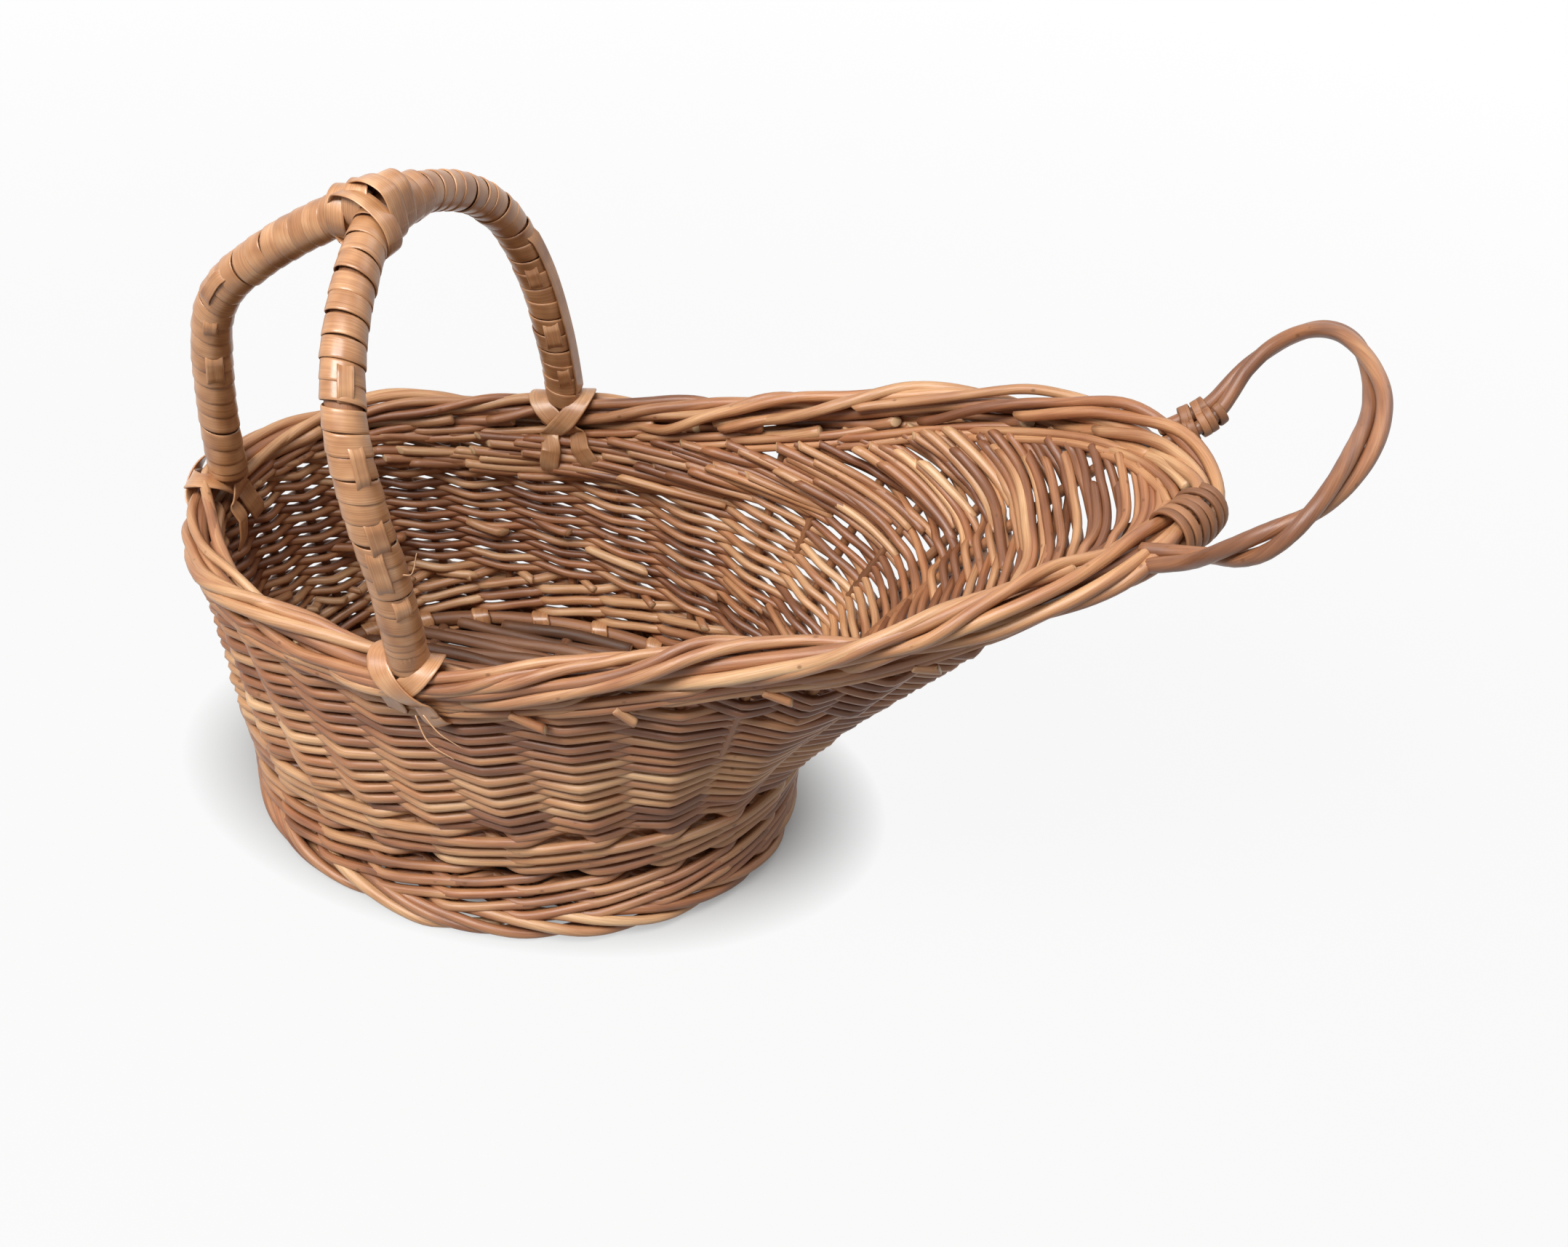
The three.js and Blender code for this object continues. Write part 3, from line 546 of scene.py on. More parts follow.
stakes = {
    "step": 3.0,
    "sides": 10,
    "footStart": 8.5,
    "intoBorder": 3.0,
    "byeBelow": 4.0,
    "byePoint": [0.55, 0.85],    # share of its thickness that a bye stake's pushed end starts with
    "uneven": (0.03, 4),    # size and smoothing of the drift in thickness
    "tones": (0.25, 0.65),
    "seed": 3,
}


def stakeSkin(stake, rng, fromFoot):
    # A rod along wallAt(stake, reach) from the foot border, or from the bye stakes' start, into the border
    start = 0.0 if fromFoot else body["byeStart"] - stakes["byeBelow"]
    path = wallAt(stake, np.arange(start, wallLength(stake) + stakes["intoBorder"], stakes["step"]))[0]
    if fromFoot:
        heights = np.arange(stakes["footStart"], body["hoopHeight"] - 1, stakes["step"])
        path = np.vstack([footPoint(stake, heights), path])
    outward = wallAt(stake, wallLength(stake) / 2)[1]
    scale = 1 + wander(rng, len(path), *stakes["uneven"])
    if not fromFoot:
        scale[:2] *= stakes["byePoint"]
    return sweep(path, roundSection(body["stakeRod"] / 2, stakes["sides"]), outward, scale,
                 tone=rng.uniform(*stakes["tones"]), offset=rng.uniform(*grainStart))


rng = np.random.default_rng(stakes["seed"])
upright = [(f"stakeRod_{k + 1}", f"stake_{k + 1}", k, True) for k in range(body["stakes"])]
upright += [(f"byeStakeRod_{k + 1}", f"bye_stake_{k + 1}", k - body["spoutPlaces"] + 0.5, False)
            for k in range(2 * body["spoutPlaces"])]
for name, node, stake, fromFoot in upright:
    makePiece(name, [stakeSkin(stake, rng, fromFoot)], stakeWillowShaded, [node])
print("stage: stakes")


# Weave of the wall: single rods, one started at each stake, each passing outside one stake and inside
# the next while it climbs

weave = {
    "pitch": 4.7,    # between two strokes on the same side of a stake
    "start": 19.4,    # where the first rod starts, up from the hoop
    "swing": 3.4,    # how far the middle of a rod stands off the stakes' line
    "spoutSwing": 0.78,    # share of the swing that is left in the spout
    "bend": 0.995,    # 1 would be a sharp bend outside a stake
    "innerBend": (0.68, 0.32),    # shares of the wave and of its cube inside a stake
    "rod": 3.3,
    "sizes": (0.93, 1.07),
    "tapers": ((1.06, 0.9), (0.92, 1.06)),    # from butt to tip, or from tip to butt
    "shift": 0.2,    # how far a rod lies above or below its place
    "climbDrift": (0.12, 30),    # size and smoothing of each drift
    "swingDrift": (0.04, 40),
    "sizeDrift": (0.02, 6),
    "thinner": 0.16,    # share by which the rods are thinner on the far side and in the spout
    "thinFrom": (-10.0, 40.0),    # across the basket and along it
    "thinOver": (25.0, 50.0),
    "tones": (0.5, 0.19),    # middle and spread
    "toneLimits": (0.04, 0.98),
    "darkest": 0.02,    # after the painted shade taken off for the spout and for the loose ends on the inside, and the painted light added on the far side
    # Painted shade: the spout's rods are made darker, so that the inside of the spout renders darker
    "spoutPaintedShade": -0.28,
    # Painted light: the rods of the far side are made paler, so that the inner face of the far wall renders
    # brighter
    "farPaintedLight": 0.15,
    "farFrom": 15.0,
    "fineness": 0.02,    # steps in which a rod's place is worked out, in stakes
    "step": 2.1,    # length of each face along the rod
    "sides": 8,
    "rimGap": 0.5,
    "spoutPlaces": 9,    # stakes from the front over which a rod that ends is in the spout
    "buttBack": 0.42,    # how far before its stake a rod starts, in stakes
    "buttDepth": 1.2,    # how far in from the weave's inner face the ends of the rods lie
    "startDepth": 0.4,
    "endDepth": (0.33, 1.76),
    "tuck": 0.3,    # stakes over which an end goes in
    "search": (2.5, 0.01),    # how far along a rod its next place inside is looked for, and in what steps
    "insideAt": -0.99,    # cosine under which a rod is inside a stake
    "sameStake": 0.05,
    "shortEnds": 0.3,    # share of the spout's rods that stop short of the border
    "short": (0.1, 0.45),
    "shortest": (0.3, 0.25),    # stretches of fewer stakes are left out, before and after the ends are cut
    "cutSlant": 0.8,
    "seed": 11,
}


def strokeShape(count):
    # 1 outside a stake and -1 inside the next: arcsin(bend * cos(pi * count)), nearly straight strokes with
    # a sharp bend, outside, and a mix of the cosine and its cube, which is softer, inside
    wave = np.cos(math.pi * count)
    plain, cubed = weave["innerBend"]
    outside = np.arcsin(weave["bend"] * wave) / math.asin(weave["bend"])
    return np.where(wave > 0, outside, plain * wave + cubed * wave**3)


def stakesPassed(stake, upper):
    # Stakes passed from the front, where the bye stakes count for a rod in the upper spout
    extra = np.clip(fromFront(stake), -body["spoutPlaces"], body["spoutPlaces"])
    return stake + extra * upper


def weaverReach(stake, number):
    # Rod number n starts at stake n: reach = start + pitch / 2 * (stake - n)
    return weave["start"] + weave["pitch"] / 2 * (stake - number)


def weaverRuns():
    # Stretches of each climbing rod that lie on the wall, as rod number and first and last stake
    stake = np.arange(0, 4 * body["stakes"], weave["fineness"])
    runs = []
    for number in range(body["stakes"]):
        reach = weaverReach(stake, number)
        inside = (reach >= weave["start"]) & (reach <= wallLength(stake) - weave["rimGap"])
        edges = np.flatnonzero(np.diff(np.concatenate([[0], inside.astype(int), [0]])))
        runs += [(number, stake[a], stake[b - 1]) for a, b in zip(edges[::2], edges[1::2])
                 if stake[b - 1] - stake[a] > weave["shortest"][0]]
    return runs


def lastInside(stake, number, upper, direction):
    # Nearest place from here, in a direction, where the rod passes inside a stake
    places = stake + direction * np.arange(0, *weave["search"])
    wave = np.cos(math.pi * (stakesPassed(places, upper) - number))
    return places[int(np.argmax(wave < weave["insideAt"]))]


def startsAtButt(number, first):
    # Whether a stretch begins at its rod's own stake, and not where the rod comes back into the spout
    return first <= number + weave["sameStake"]


def tucked(offset, share, depth):
    # The offset turns into -depth, on the inside, as the share goes from 0 to 1
    share = np.clip(share, 0, 1)
    return offset * (1 - share) - share * depth


def weaverTone(rng):
    return float(np.clip(rng.normal(*weave["tones"]), *weave["toneLimits"]))


def weaverSkin(number, first, last, rng):
    # A rod at weaverReach(stake, n) on the wall, set off it by swing * strokeShape(stakes passed - n)
    frontPlace = round((first + last) / 2 / body["stakes"]) * body["stakes"]
    inFront = abs(first + last - 2 * frontPlace) < body["stakes"] / 2
    upper = 1.0 if inFront and weaverReach(frontPlace, number) > body["byeStart"] else 0.0
    butt = startsAtButt(number, first)
    inSpout = 0 < fromFront(last) < weave["spoutPlaces"]
    if butt:
        first -= weave["buttBack"]
    if inSpout and rng.random() < weave["shortEnds"]:
        last -= rng.uniform(*weave["short"])
    if last - first < weave["shortest"][1]:
        return None
    stake = np.arange(first, last, weave["fineness"])
    reach = weaverReach(stake, number) + rng.uniform(-weave["shift"], weave["shift"])
    reach = reach + wander(rng, len(stake), *weave["climbDrift"])
    swing = weave["swing"] * (weave["spoutSwing"] if inSpout else 1.0)
    swing = swing * (1 + wander(rng, len(stake), *weave["swingDrift"]))
    offset = swing * strokeShape(stakesPassed(stake, upper) - number)
    if butt:
        offset = tucked(offset, (number - stake) / weave["buttBack"], weave["swing"] + weave["buttDepth"])
    if inSpout:
        turned = lastInside(last, number, upper, -1)
        offset = tucked(offset, (stake - turned) / weave["tuck"], swing + rng.uniform(*weave["endDepth"]))
    if not butt and fromFront(first) < 0:
        turned = lastInside(first, number, upper, 1)
        offset = tucked(offset, (turned - stake) / weave["tuck"], swing + weave["startDepth"])
    point, outward = wallAt(stake, reach)
    path = evenSteps(point + outward * offset[:, None], weave["step"])
    taper = np.linspace(*weave["tapers"][0 if rng.random() < 0.5 else 1], len(path))
    scale = rng.uniform(*weave["sizes"]) * taper * (1 + wander(rng, len(path), *weave["sizeDrift"]))
    thin = (path[:, [1, 0]] - weave["thinFrom"]) / weave["thinOver"]
    scale = scale * (1 - weave["thinner"] * np.clip(thin.max(1), 0, 1))
    # Painted light on the far side and painted shade in the spout, as a shift of each rod's tone
    onFarSide = np.mean(path[:, 1]) > weave["farFrom"]
    paintedLightAndShade = weave["spoutPaintedShade"] if inSpout else weave["farPaintedLight"] if onFarSide else 0.0
    slant = weave["cutSlant"]
    return sweep(path, roundSection(weave["rod"] / 2, weave["sides"]), across(runOf(path), upward)[1], scale,
                 tone=max(weave["darkest"], weaverTone(rng) + paintedLightAndShade), offset=rng.uniform(*grainStart),
                 slant=(rng.uniform(-slant, slant), rng.uniform(-slant, slant)))


# Rod ends that lie loose on the inside: the butts of new rods low in the tub, and the tips of rods that
# were worked out to the border of the spout. Places and lengths are in stakes, and way -1 runs back
# towards the front. Reach is up from the hoop, or down from the border where belowRim is set.
looseRod = {"rod": 3.0, "sizes": (0.85, 1.12), "taper": (1.05, 0.95), "dive": 1.2, "diveBend": 2.2,
            "climb": 1.5, "cutSlants": (0.3, 1.3), "placesPerStake": 16, "fewestPlaces": 8, "seed": 12}
looseEnds = {
    "butts": {"count": 26, "places": (0.0, 24.0), "jitter": (-0.4, 0.4), "reach": (17, 44),
              "belowRim": False, "length": (0.5, 1.0), "way": 1, "depth": (3.8, 5.8), "darker": 0.0},
    # The tips are made darker as painted shade: they lie inside the spout and under its border
    "tips": {"count": 44, "places": (0.6, 9.0), "jitter": (0.0, 0.9), "reach": (-1.0, 11.0),
             "belowRim": True, "length": (0.8, 1.9), "way": -1, "depth": (4.2, 6.6), "darker": 0.15},
    "frontTips": {"count": 46, "places": (0.9, 7.0), "jitter": (0.0, 0.9), "reach": (0.0, 16.0),
                  "belowRim": True, "length": (0.5, 1.5), "way": -1, "depth": (4.2, 6.6), "darker": 0.15},
}


def looseEnd(tip, reach, length, depth, darker, rng):
    # offset = -depth + (depth - dive) * share^2.2: the end stands off the wall's inner face and its root
    # dives between the other rods
    places = int(abs(length) * looseRod["placesPerStake"])
    share = np.linspace(0, 1, max(looseRod["fewestPlaces"], places))
    stake = tip + share * length
    climb = reach + weave["pitch"] / 2 * (stake - tip)
    climb = climb + rng.uniform(-looseRod["climb"], looseRod["climb"]) * share
    point, outward = wallAt(stake, climb)
    offset = -depth + (depth - looseRod["dive"]) * share**looseRod["diveBend"]
    path = evenSteps(point + outward * offset[:, None], weave["step"])
    scale = rng.uniform(*looseRod["sizes"]) * np.linspace(*looseRod["taper"], len(path))
    # Painted shade: a tip's tone goes down by its darker share
    tone = max(weave["darkest"], weaverTone(rng) - darker)
    return sweep(path, roundSection(looseRod["rod"] / 2, weave["sides"]), across(runOf(path), upward)[1],
                 scale, tone=tone, offset=rng.uniform(*grainStart),
                 slant=(rng.choice([-1, 1]) * rng.uniform(*looseRod["cutSlants"]), 0.0))


def looseSkins(rng):
    skins = []
    for look in looseEnds.values():
        low, high = look["places"]
        for k in range(look["count"]):
            place = low + (high - low) * (k + rng.uniform(*look["jitter"])) / look["count"]
            reach = rng.uniform(*look["reach"])
            reach = wallLength(place) - reach if look["belowRim"] else reach
            length = look["way"] * rng.uniform(*look["length"])
            skins.append(looseEnd(place, reach, length, rng.uniform(*look["depth"]), look["darker"], rng))
    return skins


# Cut ends of stakes that stand out on the outside under the border
cutEnds = {"places": [-4.4, -3.5, -2.4, -1.5, 3.3, 8.8], "rod": 2.8, "sizes": (0.85, 1.1),
           "above": 2.0, "below": (6.6, 7.8), "moved": (0.15, 0.3), "standing": (4.2, 1.1),
           "cutSlants": (0.2, 0.9), "steps": 8, "sides": 10, "seed": 13}


def cutEndSkin(place, rng):
    # A straight short rod from above to below the border's lower edge, standing further off as it goes
    share = np.linspace(0, 1, cutEnds["steps"])
    stake = place + share * rng.uniform(*cutEnds["moved"])
    down = cutEnds["above"] + share * (rng.uniform(*cutEnds["below"]) - cutEnds["above"])
    point, outward = wallAt(stake, wallLength(stake) - down)
    stand, further = cutEnds["standing"]
    path = point + outward * (stand + further * share)[:, None]
    section = roundSection(cutEnds["rod"] / 2, cutEnds["sides"])
    return sweep(path, section, outward, rng.uniform(*cutEnds["sizes"]),
                 tone=weaverTone(rng), offset=rng.uniform(*grainStart),
                 slant=(0.0, rng.choice([-1, 1]) * rng.uniform(*cutEnds["cutSlants"])))


rng = np.random.default_rng(weave["seed"])
tubSkins, spoutSkins = [], []
for number, first, last in weaverRuns():
    skin = weaverSkin(number, first, last, rng)
    if skin is not None:
        (tubSkins if startsAtButt(number, first) else spoutSkins).append(skin)
looseRods = looseSkins(np.random.default_rng(looseRod["seed"]))
rng = np.random.default_rng(cutEnds["seed"])
looseRods += [cutEndSkin(place, rng) for place in cutEnds["places"]]
lowHalf = len(tubSkins) // 2
for name, skins in (("weaversLow", tubSkins[:lowHalf]), ("weaversHigh", tubSkins[lowHalf:]),
                    ("weaversSpout", spoutSkins), ("weaversLoose", looseRods)):
    makePiece(name, skins, buffWillow, ["wall_weave"])
print("stage: weave,", len(tubSkins) + len(spoutSkins), "rods and", len(looseRods), "loose ends")


# Wales: rods in threes that turn round each other as they go outside two stakes and inside one. Rows are
# distances up from the hoop, down from the border where belowRim is set, or up from the ground for the foot

waleShape = {"strands": 3, "samplesPerStake": 14, "sides": 8, "steep": 1.5, "inside": 0.25, "wander": 0.15,
             "uneven": 0.05}
wales = {
    "waleWall": {"node": "wall_wale", "rows": [5.2, 10.2, 15.2], "belowRim": False, "rod": 3.4, "swing": 3.1,
                 "lift": 2.5, "tones": (0.25, 0.7), "seed": 21},
    "waleRim": {"node": "wall_weave", "rows": [-0.8, 2.2], "belowRim": True, "rod": 2.9, "swing": 3.3,
                "lift": 0.9, "tones": (0.3, 0.75), "seed": 22},
    # The foot wale's low tones are painted shade, low on the basket by the floor
    "waleFoot": {"node": "foot_wale", "rows": [10.9, 14.8, 18.6], "belowRim": False, "rod": 3.2,
                 "swing": 3.2, "lift": 2.1, "tones": (0.05, 0.46), "seed": 23},
}


def closedWander(rng, count, size):
    # Random drift that closes on itself: a sum of sines with 3 to 17 waves to the round
    place = np.arange(count) / count * fullTurn
    waves = np.arange(3, 18)
    sizes = rng.normal(size=len(waves)) / math.sqrt(len(waves))
    phases = rng.uniform(0, fullTurn, len(waves))
    return size * (sizes[:, None] * np.sin(waves[:, None] * place + phases[:, None])).sum(0)


def footAt(stake, height):
    return footPoint(stake, height), ovalOutward(body["footLength"], body["footWidth"], angleOf(stake))


def waleSkins(surface, look, rng):
    # Strand m: turn = (stake + m) / 3 - 1 / 6 of a full turn, outside for two stakes and inside for one,
    # where out = sin(pi / 2 * clip(steep * cos(turn) + inside)) and it rises by lift * sin(turn)
    skins = []
    stake = np.arange(0, body["stakes"], 1 / waleShape["samplesPerStake"])
    for row in look["rows"]:
        level = wallLength(stake) - row if look["belowRim"] else row
        for strand in range(waleShape["strands"]):
            turn = fullTurn * (stake + strand) / waleShape["strands"] - math.pi / 3
            out = np.clip(waleShape["steep"] * np.cos(turn) + waleShape["inside"], -1, 1)
            out = np.sin(math.pi / 2 * out)
            height = level + look["lift"] * np.sin(turn) + closedWander(rng, len(stake), waleShape["wander"])
            point, outward = surface(stake, height)
            out = look["swing"] * out * (1 + closedWander(rng, len(stake), waleShape["uneven"]))
            scale = 1 + closedWander(rng, len(stake), waleShape["uneven"])
            section = roundSection(look["rod"] / 2, waleShape["sides"])
            skins.append(sweep(point + outward * out[:, None], section, outward, scale, closed=True,
                               tone=rng.uniform(*look["tones"]), offset=rng.uniform(*grainStart)))
    return skins


for name, look in wales.items():
    skins = waleSkins(footAt if name == "waleFoot" else wallAt, look, np.random.default_rng(look["seed"]))
    makePiece(name, skins, buffWillow, [look["node"]])
print("stage: wales")


# Rolled borders: each strand starts inside, passes under to the outside, rises over the top and is
# tucked down on the inside again. On the foot it turns the other way, over the top first. Angles are
# degrees round the border, from its outer side.

borders = {
    "borderRim": {"node": "rim_border", "strands": 31, "turnLength": 158.0, "rod": 3.75, "press": 1.3,
                  "from": (-195.0, -70.0), "to": (170.0, 235.0), "drift": (0.9, 9), "sway": (11.0, 12),
                  "tone": 0.5, "heart": 4.4, "seed": 31},
    # The foot border's lower tone is painted shade, low on the basket by the floor
    "borderFoot": {"node": "foot_border", "strands": 25, "turnLength": 104.0, "rod": 3.85, "press": 0.8,
                   "from": (150.0, 205.0), "to": (-165.0, -110.0), "drift": (0.35, 9), "sway": (5.0, 12),
                   "tone": 0.34, "heart": None, "seed": 32},
}
strand = {
    "step": 2.5,
    "sides": 12,
    "jitter": 0.3,
    "lengths": (0.92, 1.1),
    "pressLength": 26.0,    # how far from its ends a strand is pressed in
    "proud": 0.4,
    "sizes": (0.86, 1.1),
    "taper": (1.06, 0.84),
    "uneven": (0.02, 5),
    "aboveGround": 0.25,
    "toneSpread": 0.18,
    "toneLimits": (0.08, 0.98),
    "cutSlant": 1.2,
    "heartStep": 3.0,
    "heartSides": 8,
    "heartTone": 0.2,
}


def borderSkins(path, diameter, look, rng):
    # strand(t) = middle of the border at distance d + t, turned round it by an angle that goes evenly
    # from start to end. Both ends press in towards the middle, so each strand comes up from under its
    # neighbours.
    skins = []
    total = path[1][-1]
    for number in range(look["strands"]):
        begin = (number + rng.uniform(-strand["jitter"], strand["jitter"])) / look["strands"] * total
        start, end = rng.uniform(*look["from"]), rng.uniform(*look["to"])
        extent = abs(end - start) / 360 * look["turnLength"] * rng.uniform(*strand["lengths"])
        t = np.arange(0, extent, strand["step"])
        angle = np.radians(start + (end - start) * t / extent + wander(rng, len(t), *look["sway"]))
        side, over = across(runAt(path, begin + t, True), upward)
        outward = around(side, over, angle)
        pressed = look["press"] * np.clip(1 - np.minimum(t, extent - t) / strand["pressLength"], 0, 1)
        radius = (diameter - look["rod"]) / 2 + wander(rng, len(t), *look["drift"])
        radius = radius + strand["proud"] - pressed
        line = pointAt(path, begin + t, True) + outward * radius[:, None]
        scale = rng.uniform(*strand["sizes"]) * np.linspace(*strand["taper"], len(t))
        scale = scale * (1 + wander(rng, len(t), *strand["uneven"]))
        line[:, 2] = np.maximum(line[:, 2], scale * look["rod"] / 2 + strand["aboveGround"])
        tone = float(np.clip(rng.normal(look["tone"], strand["toneSpread"]), *strand["toneLimits"]))
        slant = strand["cutSlant"]
        skins.append(sweep(line, roundSection(look["rod"] / 2, strand["sides"]), outward, scale, tone=tone,
                           offset=rng.uniform(*grainStart),
                           slant=(rng.uniform(-slant, slant), rng.uniform(-slant, slant))))
    if look["heart"]:
        line = pointAt(path, np.arange(0, total, strand["heartStep"]), True)
        section = roundSection(look["heart"] / 2, strand["heartSides"])
        skins.append(sweep(line, section, upward, closed=True, tone=strand["heartTone"]))
    return skins


footLine = oval(body["footLength"] - body["footBorder"], body["footWidth"] - body["footBorder"],
                body["footBorder"] / 2, np.linspace(0, fullTurn, 241))
footPath = (footLine, lengthsOf(footLine))
for name, path, diameter in (("borderRim", rimPath, body["border"]),
                             ("borderFoot", footPath, body["footBorder"])):
    look = borders[name]
    skins = borderSkins(path, diameter, look, np.random.default_rng(look["seed"]))
    makePiece(name, skins, buffWillow, [look["node"]])
print("stage: borders")


# Hoop of the base, the cane laced round it and the floor

hoop = {
    "laceWidth": 6.0,
    "laceThickness": 0.8,
    "laceGap": 0.25,
    "square": 0.5,    # share of a turn in which the lace stays square to the hoop
    "lean": 0.07,    # how far it leans there, in stakes
    "laceStart": -0.07,    # share of a turn by which it starts off the outer side
    "stepsPerLacing": 30,
    "laceTone": 0.5,
    "rodSteps": 180,
    "rodSides": 12,
    "rodTone": 0.4,
}
floor = {
    "rod": 4.3,
    "sizes": (0.92, 1.05),
    "pitch": 3.9,
    "wave": 1.2,    # how far the rods rise over a stick and dip under it
    "uneven": (0.25, 6),    # size and smoothing of the drift sideways
    "step": 2.5,
    "sides": 10,
    "stick": 4.6,
    "stickSpacing": 45.0,
    "stickSteps": 30,
    "stickSides": 12,
    "stickTone": 0.4,
    "stickGrain": 50,    # how far each stick's grain is moved from the next one's
    "edge": 4.0,
    "tones": (0.25, 0.75),
    "seed": 42,
}
floorLength, floorWidth = [body[key] - 2 * floor["edge"] for key in ("hoopLength", "hoopWidth")]


def hoopLine(angle):
    return oval(body["hoopLength"], body["hoopWidth"], body["hoopHeight"], angle)


def lacingSkin():
    # point = hoop(place) + outward(turn) * radius, where the place stays at a stake's space for a share of
    # the turn and then moves on along the hoop underneath, one turn between each two stakes
    turn = np.arange(0, body["stakes"], 1 / hoop["stepsPerLacing"])
    share = np.clip((turn % 1 - hoop["square"]) / (1 - hoop["square"]), 0, 1)
    moved = np.floor(turn) + share**2 * (3 - 2 * share)
    angle = angleOf(moved + 0.5 + hoop["lean"] * np.sin(fullTurn * turn))
    outward = ovalOutward(body["hoopLength"], body["hoopWidth"], angle)
    facing = around(outward, upward, fullTurn * (turn + hoop["laceStart"]))
    line = hoopLine(angle) + facing * (body["hoopRod"] / 2 + hoop["laceGap"])
    return sweep(line, caneSection(hoop["laceWidth"], hoop["laceThickness"]), facing,
                 tone=hoop["laceTone"])


def floorSkins(rng):
    # z = hoop + wave * cos(pi * (x / stick spacing + row)): over one stick and under the next, and the
    # neighbours the other way
    count = int(floorWidth / floor["pitch"])
    skins = []
    for row in range(count):
        y = (row - (count - 1) / 2) * floor["pitch"]
        reach = floorLength / 2 * math.sqrt(max(0.0, 1 - (2 * y / floorWidth)**2))
        x = np.arange(-reach, reach, floor["step"])
        z = body["hoopHeight"] + floor["wave"] * np.cos(math.pi * (x / floor["stickSpacing"] + row))
        line = np.stack([x, y + wander(rng, len(x), *floor["uneven"]), z], 1)
        section = roundSection(floor["rod"] / 2 * rng.uniform(*floor["sizes"]), floor["sides"])
        skins.append(sweep(line, section, upward, tone=rng.uniform(*floor["tones"]),
                           offset=rng.uniform(*grainStart)))
    return skins


def stickSkin(place):
    # A straight rod across the floor's oval, a wave's height below the hoop
    x = place * floor["stickSpacing"]
    reach = floorWidth / 2 * math.sqrt(1 - (2 * x / floorLength)**2)
    y = np.linspace(-reach, reach, floor["stickSteps"])
    line = np.stack([np.full(len(y), x), y, np.full(len(y), body["hoopHeight"] - floor["wave"])], 1)
    return sweep(line, roundSection(floor["stick"] / 2, floor["stickSides"]), upward,
                 tone=floor["stickTone"], offset=place * floor["stickGrain"])


hoopSkin = sweep(hoopLine(np.linspace(0, fullTurn, hoop["rodSteps"], endpoint=False)),
                 roundSection(body["hoopRod"] / 2, hoop["rodSides"]), upward, closed=True,
                 tone=hoop["rodTone"])
makePiece("hoopRod", [hoopSkin], stakeWillowShaded, ["base_hoop"])
makePiece("hoopLacing", [lacingSkin()], splitCane, ["hoop_lacing"])
makePiece("floorRods", floorSkins(np.random.default_rng(floor["seed"])), floorWillowShaded,
          ["floor_rods"])
for number, place in enumerate((-1, 0, 1), 1):
    makePiece(f"floorStick_{number}", [stickSkin(place)], floorWillowShaded,
              [f"floor_stick_{number}"])
print("stage: floor")


# Handle: a bow and a rear leg of thick rod, wound with flat cane

handle = {
    "stake": 5.35,
    "height": 213.4,
    "lean": 21.2,
    "leanBend": 1.8,
    "aboveBorder": 0.6,
    "rearAbove": 0.8,
    "rearRise": 5.0,
    "rearInset": 5.5,
    "core": 9.6,
    "step": 3.0,
    "sides": 16,
    "rearShort": 2,    # how much sooner the rear leg's rod ends than its line
    # half of the bow from a leg to the apex: shares of the half span and of the rise
    "bow": [(1, -0.04), (1, 0), (0.99, 0.25), (0.965, 0.5), (0.874, 0.688), (0.7, 0.82), (0.45, 0.92),
            (0.2, 0.98), (0, 1)],
    # rear leg from the rim to the bow: shares of the way forwards and of the rise
    "rear": [(0, -0.04), (0, 0), (0.04, 0.3), (0.12, 0.547), (0.22, 0.655), (0.39, 0.755), (0.58, 0.845),
             (0.77, 0.92), (1, 1)],
}
coreLift = body["border"] / 2 + handle["aboveBorder"]
bowFoot = pointAt(rimPath, rimDistance(handle["stake"]), True) + upward * coreLift


def bowPlace(span, rise, side):
    # The bow leans back as it rises: x = foot - (foot + lean) * rise^1.8
    return [bowFoot[0] - (bowFoot[0] + handle["lean"]) * max(rise, 0)**handle["leanBend"],
            side * span * bowFoot[1], bowFoot[2] + rise * (handle["height"] - bowFoot[2])]


bowPath = smoothPath([bowPlace(*row, -1) for row in handle["bow"]]
                     + [bowPlace(*row, 1) for row in handle["bow"][-2::-1]])
bowLength = bowPath[1][-1]
apex = np.array(bowPlace(0, 1, 1)) + upward * handle["rearRise"]
rearFoot = pointAt(rimPath, rimDistance(body["stakes"] / 2), True)
rearFoot = rearFoot + np.array([handle["rearInset"], 0, coreLift + handle["rearAbove"]])
rearPath = smoothPath([rearFoot + (apex - rearFoot) * (forwards, 0, rise)
                       for forwards, rise in handle["rear"]])
rearLength = rearPath[1][-1]

for name, node, path, length, reference, tone in (
        ("coreBow", "handle_bow", bowPath, bowLength, forward, 0.4),
        ("coreRearLeg", "handle_rear_leg", rearPath, rearLength - handle["rearShort"], leftward, 0.45)):
    line = pointAt(path, np.arange(0, length, handle["step"]))
    skin = sweep(line, roundSection(handle["core"] / 2, handle["sides"]), reference, tone=tone)
    makePiece(name, [skin], stakeWillowShaded, [node])

wrap = {
    "pitch": 5.8,
    "tightPitch": 2.3,
    "width": 6.0,
    "thickness": 0.6,
    "raised": 0.34,    # how far a turn's edge lies up on its neighbour
    "gap": 0.15,
    "drift": (0.5, 14),    # size and smoothing along the leg, and off it
    "uneven": (0.14, 20),
    "stepsPerTurn": 30,
    "seed": 51,
}
# Strips that run along a leg, over some turns and under the others
strip = {"width": 4.6, "widths": (0.8, 1.25), "length": 7.6, "lengths": (0.8, 1.9), "thickness": 0.5,
         "rise": 1.1, "sunk": 0.15, "turned": 0.4, "tones": (0.42, 0.62), "seed": 52}
